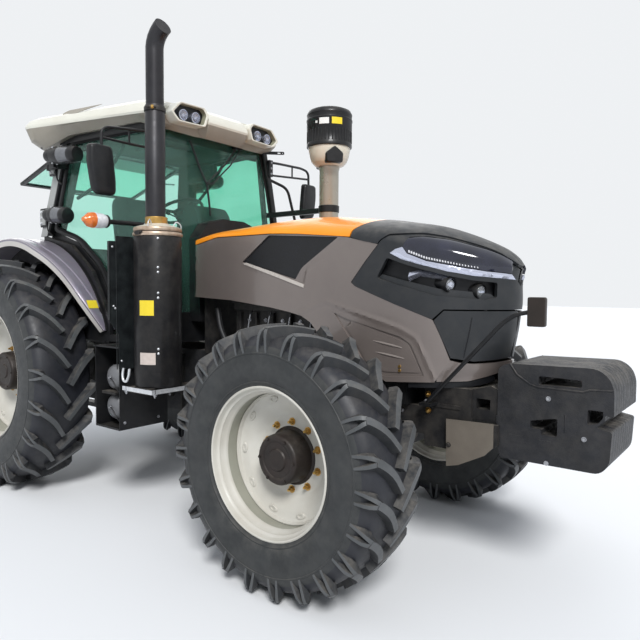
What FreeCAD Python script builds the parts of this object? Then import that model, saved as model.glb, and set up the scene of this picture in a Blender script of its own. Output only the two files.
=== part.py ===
# Row-crop farm tractor with a tilting hood, a cab with two doors, lugged tyres and a three-point hitch.
# Millimetres. +X forward, +Y left, +Z up. The origin is on the ground under the middle of the tractor.
import FreeCAD
import Part
import math
import operator
import os
import Sketcher

Vector = FreeCAD.Vector
doc = FreeCAD.newDocument("tractor")

# Driving dimensions: name and value. Each becomes an aliased cell of the sheet.
SIZES = (
    ("wheelbase", 2868),
    ("front_overhang", 1382),
    ("rear_overhang", 1100),
    ("front_track", 1820),
    ("rear_track", 1896),
    ("front_tyre_dia", 1365),
    ("front_tyre_width", 400),
    ("front_rim_dia", 711),
    ("rear_tyre_dia", 1752),
    ("rear_tyre_width", 450),
    ("rear_rim_dia", 965),
    ("rim_wall", 9),
    ("front_hub_radius", 130),
    ("front_hub_reach", 90),
    ("rear_hub_radius", 150),
    ("rear_hub_reach", 70),
    ("kingpin_offset", 210),
    ("kingpin_radius", 30),
    ("running_gap", 0.05),
    ("seat_gap", 0.3),
    ("axle_beam_height", 140),
    ("frame_half_width", 260),
    ("rail_width", 90),
    ("rail_low", 745),
    ("rail_high", 900),
    ("engine_rear", 1850),
    ("engine_front", 180),
    ("engine_half_width", 280),
    ("engine_top", 1560),
    ("radiator_thick", 140),
    ("case_half_width", 220),
    ("case_low", 580),
    ("case_high", 1080),
    ("housing_half_width", 260),
    ("housing_low", 560),
    ("trumpet_radius", 120),
    ("trumpet_end", 660),
    ("shaft_radius", 48),
    ("hood_half_width", 405),
    ("hood_wall", 24),
    ("hood_rear_x", 1556),
    ("hood_hinge_x", 1650),
    ("hood_hinge_z", 1860),
    ("hood_pin_radius", 12),
    ("nose_curve_x", 82),
    ("nose_reach", 790),
    ("door_hinge_x", 190),
    ("door_hinge_y", 725),
    ("door_pin_radius", 8),
    ("weight_pitch", 50),
    ("weight_gap", 3),
    ("weight_back", 837),
    ("weight_length", 545),
    ("cab_floor_z", 1150),
    ("cab_floor_thick", 50),
    ("cab_half_width", 720),
    ("cab_wall", 30),
    ("cab_front_x", 1430),
    ("cab_rear_x", 100),
    ("cab_front_half_width", 620),
    ("roof_low", 2640),
    ("roof_mid", 2780),
    ("roof_high", 2915),
    ("roof_front_x", 1490),
    ("roof_rear_x", -300),
    ("roof_half_width", 760),
    ("door_thick", 40),
    ("fender_radius", 1045),
    ("fender_thick", 30),
    ("fender_outer", 970),
    ("exhaust_x", 1600),
    ("exhaust_y", 760),
    ("guard_radius", 165),
    ("guard_low", 900),
    ("guard_high", 1874),
    ("sleeve_radius", 63.5),
    ("pipe_radius", 57),
    ("pipe_top", 3120),
    ("stack_x", 2050),
    ("stack_y", 500),
    ("stack_radius", 74),
    ("cleaner_radius", 172),
    ("cleaner_low", 2620),
    ("cleaner_high", 2930),
    ("mirror_y", 1085),
    ("link_length", 805),
    ("link_y", 400),
    ("link_pivot_x", -250),
    ("link_pivot_z", 560),
    ("lift_arm_length", 350),
    ("lift_pivot_z", 1205),
    ("ball_radius", 45),
    ("ball_bore", 18.7),
    ("drawbar_bore", 16.5),
    ("pto_radius", 22.2),
)

sheet = doc.addObject("Spreadsheet::Sheet", "Sizes")
for number, (name, value) in enumerate(SIZES, 1):
    sheet.set(f"A{number}", name)
    sheet.set(f"B{number}", str(value))
    sheet.setAlias(f"B{number}", name)
doc.recompute()


class Size:
    """A length that keeps its sheet expression beside its number."""

    def __init__(self, text, value):
        self.text = text
        self.value = value

    def __add__(self, other):
        return joined(self, "+", other)

    def __radd__(self, other):
        return joined(other, "+", self)

    def __sub__(self, other):
        return joined(self, "-", other)

    def __rsub__(self, other):
        return joined(other, "-", self)

    def __mul__(self, other):
        return joined(self, "*", other)

    def __rmul__(self, other):
        return joined(other, "*", self)

    def __truediv__(self, other):
        return joined(self, "/", other)

    def __neg__(self):
        return joined(0, "-", self)


OPERATIONS = {"+": operator.add, "-": operator.sub, "*": operator.mul, "/": operator.truediv}


def as_size(length):
    return length if isinstance(length, Size) else Size(repr(float(length)), float(length))


def joined(first, sign, second):
    first = as_size(first)
    second = as_size(second)
    value = OPERATIONS[sign](first.value, second.value)
    return Size(f"({first.text} {sign} {second.text})", value)


class Sizes:
    """The sheet's cells as named lengths."""

    def __init__(self):
        for name, value in SIZES:
            setattr(self, name, Size(f"Sizes.{name}", float(value)))


D = Sizes()
rear_axle_x = D.rear_overhang - (D.wheelbase + D.front_overhang + D.rear_overhang) / 2
front_axle_x = rear_axle_x + D.wheelbase
front_axle_z = D.front_tyre_dia / 2
rear_axle_z = D.rear_tyre_dia / 2
kingpin_y = D.front_track / 2 - D.kingpin_offset


def rear(distance):
    """A place along X, measured forward from the rear axle."""
    return rear_axle_x + distance


def front(distance):
    """A place along X, measured forward from the front axle."""
    return front_axle_x + distance


def bind(thing, path, length):
    thing.setExpression(path, as_size(length).text)


def box(name, x, y, z):
    """A block between three (low, high) pairs."""
    solid = doc.addObject("Part::Box", name)
    for side, axis, (low, high) in (("Length", "x", x), ("Width", "y", y), ("Height", "z", z)):
        bind(solid, side, high - as_size(low))
        bind(solid, f"Placement.Base.{axis}", low)
    return solid


ROD_TURN = {
    "x": FreeCAD.Rotation(Vector(0, 1, 0), 90),
    "y": FreeCAD.Rotation(Vector(1, 0, 0), -90),
    "z": FreeCAD.Rotation(),
}


def rod(name, axis, place, radius, low, high):
    """A cylinder along one axis, from low to high, at a place given in the other two axes in XYZ order."""
    solid = doc.addObject("Part::Cylinder", name)
    solid.Placement = FreeCAD.Placement(Vector(), ROD_TURN[axis])
    bind(solid, "Radius", radius)
    bind(solid, "Height", high - as_size(low))
    start = list(place)
    start.insert("xyz".index(axis), low)
    for letter, length in zip("xyz", start):
        bind(solid, f"Placement.Base.{letter}", length)
    return solid


def fused(name, *pieces):
    solid = doc.addObject("Part::MultiFuse", name)
    solid.Shapes = list(pieces)
    return solid


def cut(name, base, *tools):
    tool = tools[0] if len(tools) == 1 else fused(name + "_tool", *tools)
    solid = doc.addObject("Part::Cut", name)
    solid.Base = base
    solid.Tool = tool
    return solid


def common(name, first, second):
    solid = doc.addObject("Part::Common", name)
    solid.Base = first
    solid.Tool = second
    return solid


def grouped(name, *pieces):
    """Pieces that don't touch, kept as one sub-part."""
    solid = doc.addObject("Part::Compound", name)
    solid.Links = list(pieces)
    return solid


def mirrored(name, source):
    """The same piece on the other side of the tractor's middle plane."""
    solid = doc.addObject("Part::Mirroring", name)
    solid.Source = source
    solid.Normal = Vector(0, 1, 0)
    return solid


def both_sides(name, source):
    return grouped(name, source, mirrored(name + "_other_side", source))


def origin_plane(body, role):
    return next(feature for feature in body.Origin.OriginFeatures if feature.Role == role)


def outline(body, role, points, offset=0):
    """A closed sketch of straight lines on an origin plane, moved along the plane's normal."""
    sketch = body.newObject("Sketcher::SketchObject", body.Name + "_outline")
    sketch.AttachmentSupport = [(origin_plane(body, role), "")]
    sketch.MapMode = "FlatFace"
    bind(sketch, "AttachmentOffset.Base.z", offset)
    corners = [(as_size(u), as_size(v)) for u, v in points]
    count = len(corners)
    for index in range(count):
        start = corners[index]
        end = corners[(index + 1) % count]
        line = Part.LineSegment(Vector(start[0].value, start[1].value), Vector(end[0].value, end[1].value))
        sketch.addGeometry(line, False)
    for index in range(count):
        sketch.addConstraint(Sketcher.Constraint("Coincident", index, 2, (index + 1) % count, 1))
        for kind, length in zip(("DistanceX", "DistanceY"), corners[index]):
            place = sketch.addConstraint(Sketcher.Constraint(kind, -1, 1, index, 1, length.value))
            sketch.setExpression(f"Constraints[{place}]", length.text)
    return sketch


def panel(name, role, points, low, high):
    """An outline padded between two places along the axis square to its plane."""
    body = doc.addObject("PartDesign::Body", name)
    start = -as_size(high) if role == "XZ_Plane" else low
    sketch = outline(body, role, points, start)
    pad = body.newObject("PartDesign::Pad", name + "_pad")
    pad.Profile = sketch
    bind(pad, "Length", high - as_size(low))
    sketch.Visibility = False
    return body


def value(length):
    return as_size(length).value


def corner(x, y, z):
    """A point from three lengths."""
    return Vector(value(x), value(y), value(z))


def facets(loop):
    """The flat faces of a four-cornered loop: one or two, and none where it has no width."""
    corners = [point for index, point in enumerate(loop) if (point - loop[index - 1]).Length > 1e-6]
    if len(corners) < 3:
        return []
    if len(corners) == 3:
        return [corners]
    normal = (corners[1] - corners[0]).cross(corners[2] - corners[0])
    if abs(normal.dot(corners[3] - corners[0])) < 1e-6 * normal.Length:
        return [corners]
    return [corners[:3], [corners[0], corners[2], corners[3]]]


def skinned(name, sections, caps=(0, -1), wrap=False):
    """A solid of flat faces through loops of as many corners each. Wrap joins the last loop to the first."""
    faces = [sections[index] for index in caps]
    nexts = sections[1:] + sections[:1] if wrap else sections[1:]
    for near, far in zip(sections, nexts):
        for index in range(len(near)):
            faces += facets([near[index - 1], near[index], far[index], far[index - 1]])
    shape = Part.Solid(Part.Shell([Part.Face(Part.makePolygon([*loop, loop[0]])) for loop in faces]))
    if shape.Volume < 0:
        shape.reverse()
    solid = doc.addObject("Part::Feature", name)
    solid.Shape = shape
    return solid


def turned_point(axis, centre, radius, along, angle):
    """A point at a radius and an angle about an axis through a centre."""
    across = value(radius) * math.cos(angle)
    rise = value(radius) * math.sin(angle)
    reach = value(along)
    offset = {"x": (reach, across, rise), "y": (across, reach, rise), "z": (across, rise, reach)}[axis]
    return corner(*centre) + Vector(*offset)


def faceted(name, axis, centre, profile, sides):
    """A many-sided turned solid through (radius, distance along the axis) stations."""
    turns = [2 * math.pi * index / sides for index in range(sides)]
    return skinned(name, [
        [turned_point(axis, centre, radius, along, turn) for turn in turns] for radius, along in profile
    ])


def flat_sided_bore(name, axis, place, radius, low, high, sides=12):
    """A tool for a pin's hole: its flats clear a round pin, and its few faces keep the mesh light."""
    centre = {"x": (0, *place), "y": (place[0], 0, place[1]), "z": (*place, 0)}[axis]
    corners = value(radius) / math.cos(math.pi / sides)
    return faceted(name, axis, centre, [(corners, low), (corners, high)], sides)


def faceted_ring(name, axis, centre, profile, sides):
    """A many-sided ring from a closed profile of (radius, distance along the axis) points."""
    turns = [2 * math.pi * index / sides for index in range(sides)]
    return skinned(name, [
        [turned_point(axis, centre, radius, along, turn) for radius, along in profile] for turn in turns
    ], (), True)


def tube(name, points, radius, sides=6):
    """A many-sided tube through points, mitred at its bends."""
    places = [corner(*point) for point in points]
    ways = [(after - before).normalize() for before, after in zip(places, places[1:])]
    level = Vector(0, 0, 1) if abs(ways[0].z) < 0.9 else Vector(1, 0, 0)
    first = ways[0].cross(level).normalize()
    second = ways[0].cross(first)
    turns = [2 * math.pi * index / sides for index in range(sides)]
    wide = value(radius)
    loop = [places[0] + first * (wide * math.cos(turn)) + second * (wide * math.sin(turn)) for turn in turns]
    sections = [loop]
    for index, way in enumerate(ways):
        place = places[index + 1]
        mitre = way + ways[index + 1] if index + 1 < len(ways) else way
        loop = [point + way * ((place - point).dot(mitre) / way.dot(mitre)) for point in loop]
        sections.append(loop)
    return skinned(name, sections)


def rectangle(x, y):
    return [(x[0], y[0]), (x[1], y[0]), (x[1], y[1]), (x[0], y[1])]


def post(name, low, high):
    """A straight post between two level rectangles, each given as height, x pair and y pair."""
    return skinned(name, [
        [corner(across, along, place) for across, along in rectangle(x, y)] for place, x, y in (low, high)
    ])


def finish(name, solid):
    """Labels the object that is a sub-part and keeps it for the export."""
    solid.Label = name
    SUB_PARTS.append((name, solid))
    return solid


SUB_PARTS = []


def left_and_right(name, solid):
    """Keeps a left piece and its mirror image on the right as two sub-parts."""
    finish(f"{name[0]}left_{name[1]}", solid)
    finish(f"{name[0]}right_{name[1]}", mirrored(f"{name[0]}right_{name[1]}_mirror", solid))


# Wheels. Lug stations: share of the half width, lead in degrees, half width of the top, tip drop, root depth
FRONT_LUG_COUNT = 23
REAR_LUG_COUNT = 21
RIM_SIDES = 16
LUG_STATIONS = (
    (0.03, 14.5, 15, 0, 40),
    (0.48, 5.5, 18, 2, 42),
    (0.93, 0, 22, 14, 74),
)
LUG_FLARE = 8


def lug_ring(centre, radius, half, side, turns, station):
    """The tread's line at one station, up and over each lug. Both halves list their places in step."""
    share, lead, wide, drop, depth = station
    loop = []
    for turn in turns:
        middle = turn - math.radians(lead)
        root, top = [
            [
                turned_point("y", centre, level, side * share * half, middle + way * spread / radius)
                for way in (-1, 1)
            ]
            for level, spread in ((radius - depth, wide + LUG_FLARE), (radius - drop, wide))
        ]
        loop += [root[0], top[0], top[1], root[1]]
    after = loop[4:] + loop[:4]
    before = loop[-4:] + loop[:-4]
    ring = []
    for index in range(0, len(loop), 4):
        if side > 0:
            ring += [*loop[index:index + 4], loop[index + 3], after[index]]
        else:
            ring += [before[index + 3], before[index + 3], loop[index], *loop[index:index + 3]]
    return ring


def plain_ring(centre, radius, across, turns, sides):
    """A round line with as many places as a lug ring, gathered on its own number of corners."""
    step = 2 * math.pi / sides
    ring = []
    for turn in turns:
        pitch = 2 * math.pi / len(turns)
        for part in (-0.25, -0.15, 0.15, 0.25, 0.45, 0.65):
            near = round((turn + part * pitch) / step) * step
            ring.append(turned_point("y", centre, radius, across, near))
    return ring


def tyre(place, centre, diameter, width, rim_dia, count):
    """A hollow tyre whose curved lugs lead at the middle of the tread and run down over the shoulders."""
    radius = value(diameter) / 2
    bead = value(rim_dia / 2 + D.rim_wall + D.seat_gap)
    half = value(width) / 2
    belly = bead + (radius - bead) * 0.58
    pitch = 2 * math.pi / count
    first = -math.pi / 2 + math.radians(LUG_STATIONS[0][1]) + LUG_STATIONS[0][2] / radius
    rings = []
    for side in (1, -1):
        turns = [first + pitch * (index + (0 if side > 0 else 0.5)) for index in range(count)]
        half_rings = [
            plain_ring(centre, bead, side * half * 0.80, turns, RIM_SIDES),
            plain_ring(centre, belly, side * half, turns, count),
            *[lug_ring(centre, radius, half, side, turns, station) for station in reversed(LUG_STATIONS)],
        ]
        rings += half_rings if side > 0 else reversed(half_rings)
    left_and_right((f"{place}_", "tyre"), skinned(f"{place}_tyre_body", rings, (), True))


def rim(place, centre, rim_dia, width, hub, disc, shaft_end):
    """A wheel: barrel with flanges, coned disc, hub and the shaft it turns on."""
    name = f"{place}_left_rim"
    inner = rim_dia / 2
    seat = inner + D.rim_wall
    flange = seat + 16
    half = width * 0.40
    hub_radius, hub_reach = hub
    barrel = faceted_ring(name + "_barrel", "y", centre, [
        (inner, -half - 18),
        (flange, -half - 18),
        (seat, -half - 2),
        (seat, half + 2),
        (flange, half + 18),
        (inner, half + 18),
    ], RIM_SIDES)
    dish = faceted_ring(name + "_dish", "y", centre, [
        (hub_radius - 30, disc),
        (inner + 4, disc + 35),
        (inner + 4, disc + 50),
        (hub_radius - 30, disc + 16),
    ], RIM_SIDES)
    cap = faceted(name + "_hub", "y", centre, [
        (hub_radius, disc - 10),
        (hub_radius, hub_reach - 12),
        (hub_radius - 12, hub_reach),
    ], 12)
    axle = rod(
        name + "_shaft", "y", (centre[0], centre[2]), D.shaft_radius,
        centre[1] + shaft_end, centre[1] + disc,
    )
    left_and_right((f"{place}_", "rim"), fused(name + "_wheel", barrel, dish, cap, axle))


front_wheel = (front_axle_x, D.front_track / 2, front_axle_z)
rear_wheel = (rear_axle_x, D.rear_track / 2, rear_axle_z)
tyre("front", front_wheel, D.front_tyre_dia, D.front_tyre_width, D.front_rim_dia, FRONT_LUG_COUNT)
tyre("rear", rear_wheel, D.rear_tyre_dia, D.rear_tyre_width, D.rear_rim_dia, REAR_LUG_COUNT)
rim(
    "front", front_wheel, D.front_rim_dia, D.front_tyre_width, (D.front_hub_radius, D.front_hub_reach),
    -35, 20 - D.kingpin_offset,
)
rim(
    "rear", rear_wheel, D.rear_rim_dia, D.rear_tyre_width, (D.rear_hub_radius, D.rear_hub_reach),
    -60, D.trumpet_end - D.rear_track / 2 - 100,
)


# Steering knuckles and front axle
KNUCKLE_RADIUS = 120
KNUCKLE_HALF_HEIGHT = 130
EAR_THICK = 40
TRUNNION_RADIUS = 45


def knuckle():
    """A round carrier on the kingpin, bored for the wheel's shaft, with a steering arm behind."""
    place = (front_axle_x, kingpin_y)
    drum = faceted("knuckle_drum", "y", (front_axle_x, kingpin_y, front_axle_z), [
        (KNUCKLE_RADIUS - 25, -75),
        (KNUCKLE_RADIUS, -45),
        (KNUCKLE_RADIUS, 60),
        (KNUCKLE_RADIUS - 20, 80),
        (KNUCKLE_RADIUS - 20, 165),
    ], 12)
    pin = rod(
        "knuckle_pin", "z", place, D.kingpin_radius,
        front_axle_z - KNUCKLE_HALF_HEIGHT - EAR_THICK, front_axle_z + KNUCKLE_HALF_HEIGHT + EAR_THICK,
    )
    boss = faceted("knuckle_boss", "z", (*place, front_axle_z), [
        (D.kingpin_radius + 24, -KNUCKLE_HALF_HEIGHT),
        (D.kingpin_radius + 24, KNUCKLE_HALF_HEIGHT),
    ], 8)
    arm = box(
        "steering_arm", (front(-250), front(-60)), (kingpin_y - 25, kingpin_y + 25),
        (front_axle_z - 40, front_axle_z),
    )
    bore = flat_sided_bore(
        "knuckle_bore", "y", (front_axle_x, front_axle_z), D.shaft_radius + D.running_gap,
        kingpin_y, kingpin_y + 200,
    )
    left_and_right(("", "knuckle"), cut("knuckle_cut", fused("knuckle_body", drum, pin, boss, arm), bore))


knuckle()


def front_axle():
    """A live beam with a round centre case, a trunnion through it and yokes that hold the kingpins."""
    ear_low = front_axle_z + KNUCKLE_HALF_HEIGHT
    yoke_x = (front(-75), front(75))
    beam_end = kingpin_y - 160
    half = D.axle_beam_height / 2
    ear_y = (beam_end, kingpin_y + 60)
    low = front_axle_z - KNUCKLE_HALF_HEIGHT - EAR_THICK
    case = faceted("axle_case", "y", (front_axle_x, 0, front_axle_z - 40), [
        (80, -170),
        (120, -90),
        (120, 90),
        (80, 170),
    ], 12)
    beam = box("axle_beam", (front(-60), front(60)), (-beam_end, beam_end), (front_axle_z - half, front_axle_z + 50))
    trunnion = faceted("trunnion", "x", (front_axle_x, 0, front_axle_z), [
        (TRUNNION_RADIUS, -230),
        (TRUNNION_RADIUS, 230),
    ], 8)
    upper = box("upper_ear", yoke_x, ear_y, (ear_low, ear_low + EAR_THICK))
    lower = box("lower_ear", yoke_x, ear_y, (low, low + EAR_THICK))
    web = box("yoke_web", yoke_x, (beam_end - 60, beam_end), (low, ear_low + EAR_THICK))
    hole = flat_sided_bore(
        "kingpin_bore", "z", (front_axle_x, kingpin_y), D.kingpin_radius + D.running_gap,
        front_axle_z - 400, front_axle_z + 400,
    )
    yoke = cut("left_yoke", fused("yoke_body", upper, lower, web), hole)
    return finish("front_axle", fused("axle_body", case, beam, trunnion, yoke, mirrored("right_yoke", yoke)))


front_axle()


# Frame and drive line
BOLSTER_TOP = 1020
bolster_x = (front(430), front(700))


def chassis_frame():
    """Two side rails, the front bolster that ties them, the weight bracket and the axle's hangers."""
    outer = D.frame_half_width
    inner = outer - D.rail_width
    rail = box("left_rail", (rear(D.engine_rear), bolster_x[0]), (inner, outer), (D.rail_low, D.rail_high))
    bolster = panel("bolster", "XZ_Plane", [
        (bolster_x[0], D.rail_low - 60),
        (bolster_x[1] - 80, D.rail_low - 60),
        (bolster_x[1], D.rail_low + 20),
        (bolster_x[1], BOLSTER_TOP),
        (bolster_x[0], BOLSTER_TOP),
    ], -outer, outer)
    bracket = panel("weight_bracket", "XZ_Plane", [
        (front(656), 860),
        (front(D.weight_back), 866),
        (front(D.weight_back), 1030),
        (front(D.weight_back - 40), 1046),
        (front(656), 1006),
    ], -240, 240)
    pocket = box("bracket_pocket", (front(720), front(795)), (-260, 260), (920, 975))
    hangers = []
    for name, place in (("front_hanger", 130), ("rear_hanger", -230)):
        plate = box(
            name, (front(place), front(place + 100)), (-outer, outer), (front_axle_z - 70, D.rail_low),
        )
        bore = faceted(name + "_bore", "x", (front_axle_x, 0, front_axle_z), [
            (TRUNNION_RADIUS + D.seat_gap, -300),
            (TRUNNION_RADIUS + D.seat_gap, 300),
        ], 8)
        hangers.append(cut(name + "_cut", plate, bore))
    guard = panel("guard_plate", "XZ_Plane", [
        (front(577), 847),
        (front(850), 854),
        (front(853), 752),
        (front(773), 691),
        (front(655), 629),
        (front(581), 599),
    ], outer - 8, outer + 20)
    casting = cut("bracket_cut", bracket, pocket)
    return finish("chassis_frame", fused(
        "frame_body", bolster, casting, guard, mirrored("right_guard", guard), rail, mirrored("right_rail", rail),
        *hangers,
    ))


chassis_frame()


# A weight's side view: distance ahead of the bracket and height
WEIGHT_POINTS = (
    (0, 750),
    (20, 690),
    (490, 690),
    (531, 737),
    (545, 920),
    (545, 1085),
    (522, 1142),
    (468, 1180),
    (47, 1172),
    (0, 1146),
)


def weights():
    """Ten hanging plates on one carrier bar, with a hand slot, a keyed pocket and a slit across the front."""
    back = front(D.weight_back)
    reach = D.weight_pitch * 5
    plates = []
    for index in range(10):
        start = (index - 5) * D.weight_pitch
        plates.append(panel(f"weight_{index + 1}", "XZ_Plane", [
            (back + along, height) for along, height in WEIGHT_POINTS
        ], start + D.weight_gap / 2, start + D.weight_pitch - D.weight_gap / 2))
    bar = box("weight_bar", (back, back + 90), (5 - reach, reach - 5), (830, 1000))
    tools = [
        box("hand_slot", (back + 203, back + 405), (-300, 300), (1082, 1120)),
        box("front_slit", (back + 508, back + 560), (-300, 300), (940, 966)),
    ]
    for side_name, pair in (("left", (reach - 14, reach + 20)), ("right", (-reach - 20, 14 - reach))):
        tools.append(box(f"{side_name}_window", (back + 432, back + 509), pair, (903, 985)))
        tools.append(box(f"{side_name}_key", (back + 221, back + 297), pair, (836, 922)))
        tools.append(box(f"{side_name}_key_tail", (back + 168, back + 225), pair, (862, 896)))
    return finish("front_weights", cut("weights_cut", fused("weights_body", bar, *plates), *tools))


weights()


def engine():
    """The engine as one block, set on the rails."""
    return finish("engine_block", box(
        "engine", (rear(D.engine_rear), front(D.engine_front)),
        (-D.engine_half_width, D.engine_half_width), (D.rail_high, D.engine_top),
    ))


def radiator():
    start = front(D.engine_front) + 20
    return finish("radiator", box(
        "radiator_core", (start, start + D.radiator_thick), (-300, 300), (D.rail_high, D.engine_top),
    ))


def transmission():
    half = D.case_half_width
    body = panel("case", "XZ_Plane", [
        (rear(280), D.case_low - 20),
        (rear(700), D.case_low),
        (rear(D.engine_rear), D.case_low + 60),
        (rear(D.engine_rear), D.case_high),
        (rear(280), D.case_high),
    ], -half, half)
    return finish("transmission_case", body)


def rear_axle_housing():
    """Centre case, trumpets out to the wheels, lift cover with its rockshaft bore and top-link ears."""
    half = D.housing_half_width
    low = D.housing_low
    top = D.cab_floor_z
    block = panel("rear_case", "XZ_Plane", [
        (rear(-320), low + 60),
        (rear(-240), low),
        (rear(280), low),
        (rear(280), top),
        (rear(-320), top),
    ], -half, half)
    trumpet = faceted("trumpet", "y", (rear_axle_x, 0, rear_axle_z), [
        (D.trumpet_radius + 35, half - 10),
        (D.trumpet_radius, half + 90),
        (D.trumpet_radius, D.trumpet_end - 60),
        (D.trumpet_radius + 40, D.trumpet_end - 40),
        (D.trumpet_radius + 40, D.trumpet_end),
    ], 12)
    shaft_bore = flat_sided_bore(
        "shaft_bore", "y", (rear_axle_x, rear_axle_z), D.shaft_radius + D.running_gap,
        D.trumpet_end - 105, D.trumpet_end + 100,
    )
    arm = cut("bored_trumpet", trumpet, shaft_bore)
    cover = box("lift_cover", (rear(-345), rear(40)), (-210, 210), (top, D.lift_pivot_z + 60))
    ear = box("top_ear", (rear(-430), rear(-320)), (30, 55), (880, 1010))
    place = (rear(D.link_pivot_x), D.link_pivot_z)
    boss = faceted("link_boss", "y", (place[0], 0, place[1]), [(40, half - 5), (40, D.link_y - 25)], 8)
    pin = rod("link_pin", "y", place, 20, D.link_y - 30, D.link_y + 40)
    side = fused("left_housing_side", arm, ear, boss, pin)
    rockshaft_bore = flat_sided_bore(
        "rockshaft_bore", "y", (rear(D.link_pivot_x), D.lift_pivot_z), 30 + D.running_gap, -300, 300,
    )
    top_pin_bore = rod("top_pin_bore", "y", (rear(-385), 945), 16, -80, 80)
    body = fused("rear_housing_body", block, cover, side, mirrored("right_housing_side", side))
    return finish("rear_axle_housing", cut("rear_housing_cut", body, rockshaft_bore, top_pin_bore))


engine()
radiator()
transmission()
rear_axle_housing()


# Rear hitch: lift arms, rods and lower links make a parallelogram on each side
LINK_PIN_RADIUS = 20
ROD_PIN_RADIUS = 15
ROCKSHAFT_RADIUS = 30
ARM_HALF_THICK = 15


def eye(name, x, z, radius, y):
    """An eight-sided eye about a level bore."""
    return faceted(name, "y", (x, 0, z), [(radius, y[0]), (radius, y[1])], 8)


def lower_links():
    """Two level links with a pivot eye, a rod pin and a ball end."""
    pivot = rear(D.link_pivot_x)
    ball = pivot - D.link_length
    z = D.link_pivot_z
    y = (D.link_y - ARM_HALF_THICK, D.link_y + ARM_HALF_THICK)
    wide = (D.link_y - D.ball_radius / 2, D.link_y + D.ball_radius / 2)
    pieces = [
        eye("link_pivot_eye", pivot, z, 44, y),
        eye("link_ball_eye", ball, z, D.ball_radius, wide),
        box("link_bar", (ball, pivot), y, (z - 30, z + 30)),
        faceted("link_rod_pin", "y", (pivot - D.lift_arm_length, 0, z), [
            (ROD_PIN_RADIUS, D.link_y),
            (ROD_PIN_RADIUS, D.link_y + 50),
        ], 12),
    ]
    holes = [
        flat_sided_bore("link_pivot_bore", "y", (pivot, z), LINK_PIN_RADIUS + D.running_gap, 300, 500),
        rod("link_ball_bore", "y", (ball, z), D.ball_bore, 300, 500),
    ]
    left = cut("left_lower_link", fused("left_link_body", *pieces), *holes)
    return finish("lower_links", both_sides("both_lower_links", left))


def lift_arms():
    """The rockshaft with an arm on each end that carries a rod pin."""
    pivot = rear(D.link_pivot_x)
    tip = pivot - D.lift_arm_length
    z = D.lift_pivot_z
    y = (D.link_y - ARM_HALF_THICK, D.link_y + ARM_HALF_THICK)
    shaft = rod("rockshaft", "y", (pivot, z), ROCKSHAFT_RADIUS, -D.link_y, D.link_y)
    arm = fused(
        "left_lift_arm",
        eye("arm_hub", pivot, z, 55, y),
        eye("arm_tip", tip, z, 35, y),
        rod("arm_rod_pin", "y", (tip, z), ROD_PIN_RADIUS, D.link_y, D.link_y + 50),
        box("arm_bar", (tip, pivot), y, (z - 32, z + 32)),
    )
    return finish("lift_arms", fused("lift_arms_body", shaft, arm, mirrored("right_lift_arm", arm)))


def lift_rods():
    """Upright rods that hang the lower links from the lift arms."""
    x = rear(D.link_pivot_x) - D.lift_arm_length
    low = D.link_pivot_z
    high = D.lift_pivot_z
    y = (D.link_y + 20, D.link_y + 45)
    pieces = [
        eye("rod_low_eye", x, low, 32, y),
        eye("rod_high_eye", x, high, 32, y),
        box("rod_bar", (x - 12, x + 12), (y[0] + 2, y[1] - 2), (low + 25, high - 25)),
        faceted("rod_screw", "z", (x, D.link_y + 32.5, 0), [(21, low + 140), (21, high - 180)], 6),
    ]
    holes = [
        flat_sided_bore("rod_low_bore", "y", (x, low), ROD_PIN_RADIUS + D.running_gap, 300, 600),
        flat_sided_bore("rod_high_bore", "y", (x, high), ROD_PIN_RADIUS + D.running_gap, 300, 600),
    ]
    left = cut("left_lift_rod", fused("left_rod_body", *pieces), *holes)
    return finish("lift_rods", both_sides("both_lift_rods", left))


def drawbar():
    """The drawbar under the rear case with its pin hole, and the power take-off shaft above it."""
    bar = box("drawbar_bar", (rear(-760), rear(200)), (-45, 45), (D.housing_low - 150, D.housing_low - 110))
    hanger = box("drawbar_hanger", (rear(-200), rear(-100)), (-110, 110), (D.housing_low - 110, D.housing_low))
    hole = rod("drawbar_hole", "z", (rear(-710), 0), D.drawbar_bore, D.housing_low - 200, D.housing_low)
    shaft = rod("pto_stub", "x", (0, D.housing_low + 160), D.pto_radius, rear(-440), rear(-320))
    holed = cut("drawbar_cut", fused("drawbar_body", bar, hanger), hole)
    return finish("drawbar", grouped("drawbar_and_shaft", holed, shaft))


lower_links()
lift_arms()
lift_rods()
drawbar()


# Hood. Straight part: share of its length, shoulder and crown heights
STRAIGHT_LINES = (
    (0, 1862, 1905),
    (0.118, 1890, 1950),
    (0.498, 1890, 1998),
    (0.699, 1866, 2006),
    (1, 1829, 1958),
)
# Nose: degrees round its plan, shoulder and crown heights
NOSE_LINES = (
    (25, 1765, 1902),
    (45, 1711, 1820),
    (60, 1681, 1765),
    (75, 1659, 1710),
    (90, 1653, 1653),
)
# Front of the nose below its tip: height and how far it stands back
NOSE_BACK = ((1490, 10), (1178, 57), (1000, 85))
CROWN_SHARES = (0.87, 0.5, 0, -0.5, -0.87)

hood_rear = rear(D.hood_rear_x)
nose_start = front(D.nose_curve_x)
hinge_x = rear(D.hood_hinge_x)


def hood_loop(place, turn, shoulder, crown, inset, floor):
    """One loop over the hood, from the left lower edge across the crown to the right lower edge."""
    half = (value(D.hood_half_width) - inset) * math.cos(turn)
    reach = value(D.nose_reach) - inset
    ahead = math.sin(turn)
    wall = [(height if height > 1100 else floor, (reach - back) * ahead) for height, back in NOSE_BACK]
    tip = place + reach * ahead
    left = [corner(place + along, half, height) for height, along in reversed(wall)]
    right = [corner(place + along, -half, height) for height, along in wall]
    rise = crown - shoulder
    top = [
        corner(tip, half * share, shoulder + rise * math.sqrt(1 - share * share)) for share in CROWN_SHARES
    ]
    return [*left, corner(tip, half, shoulder), *top, corner(tip, -half, shoulder), *right]


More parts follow.
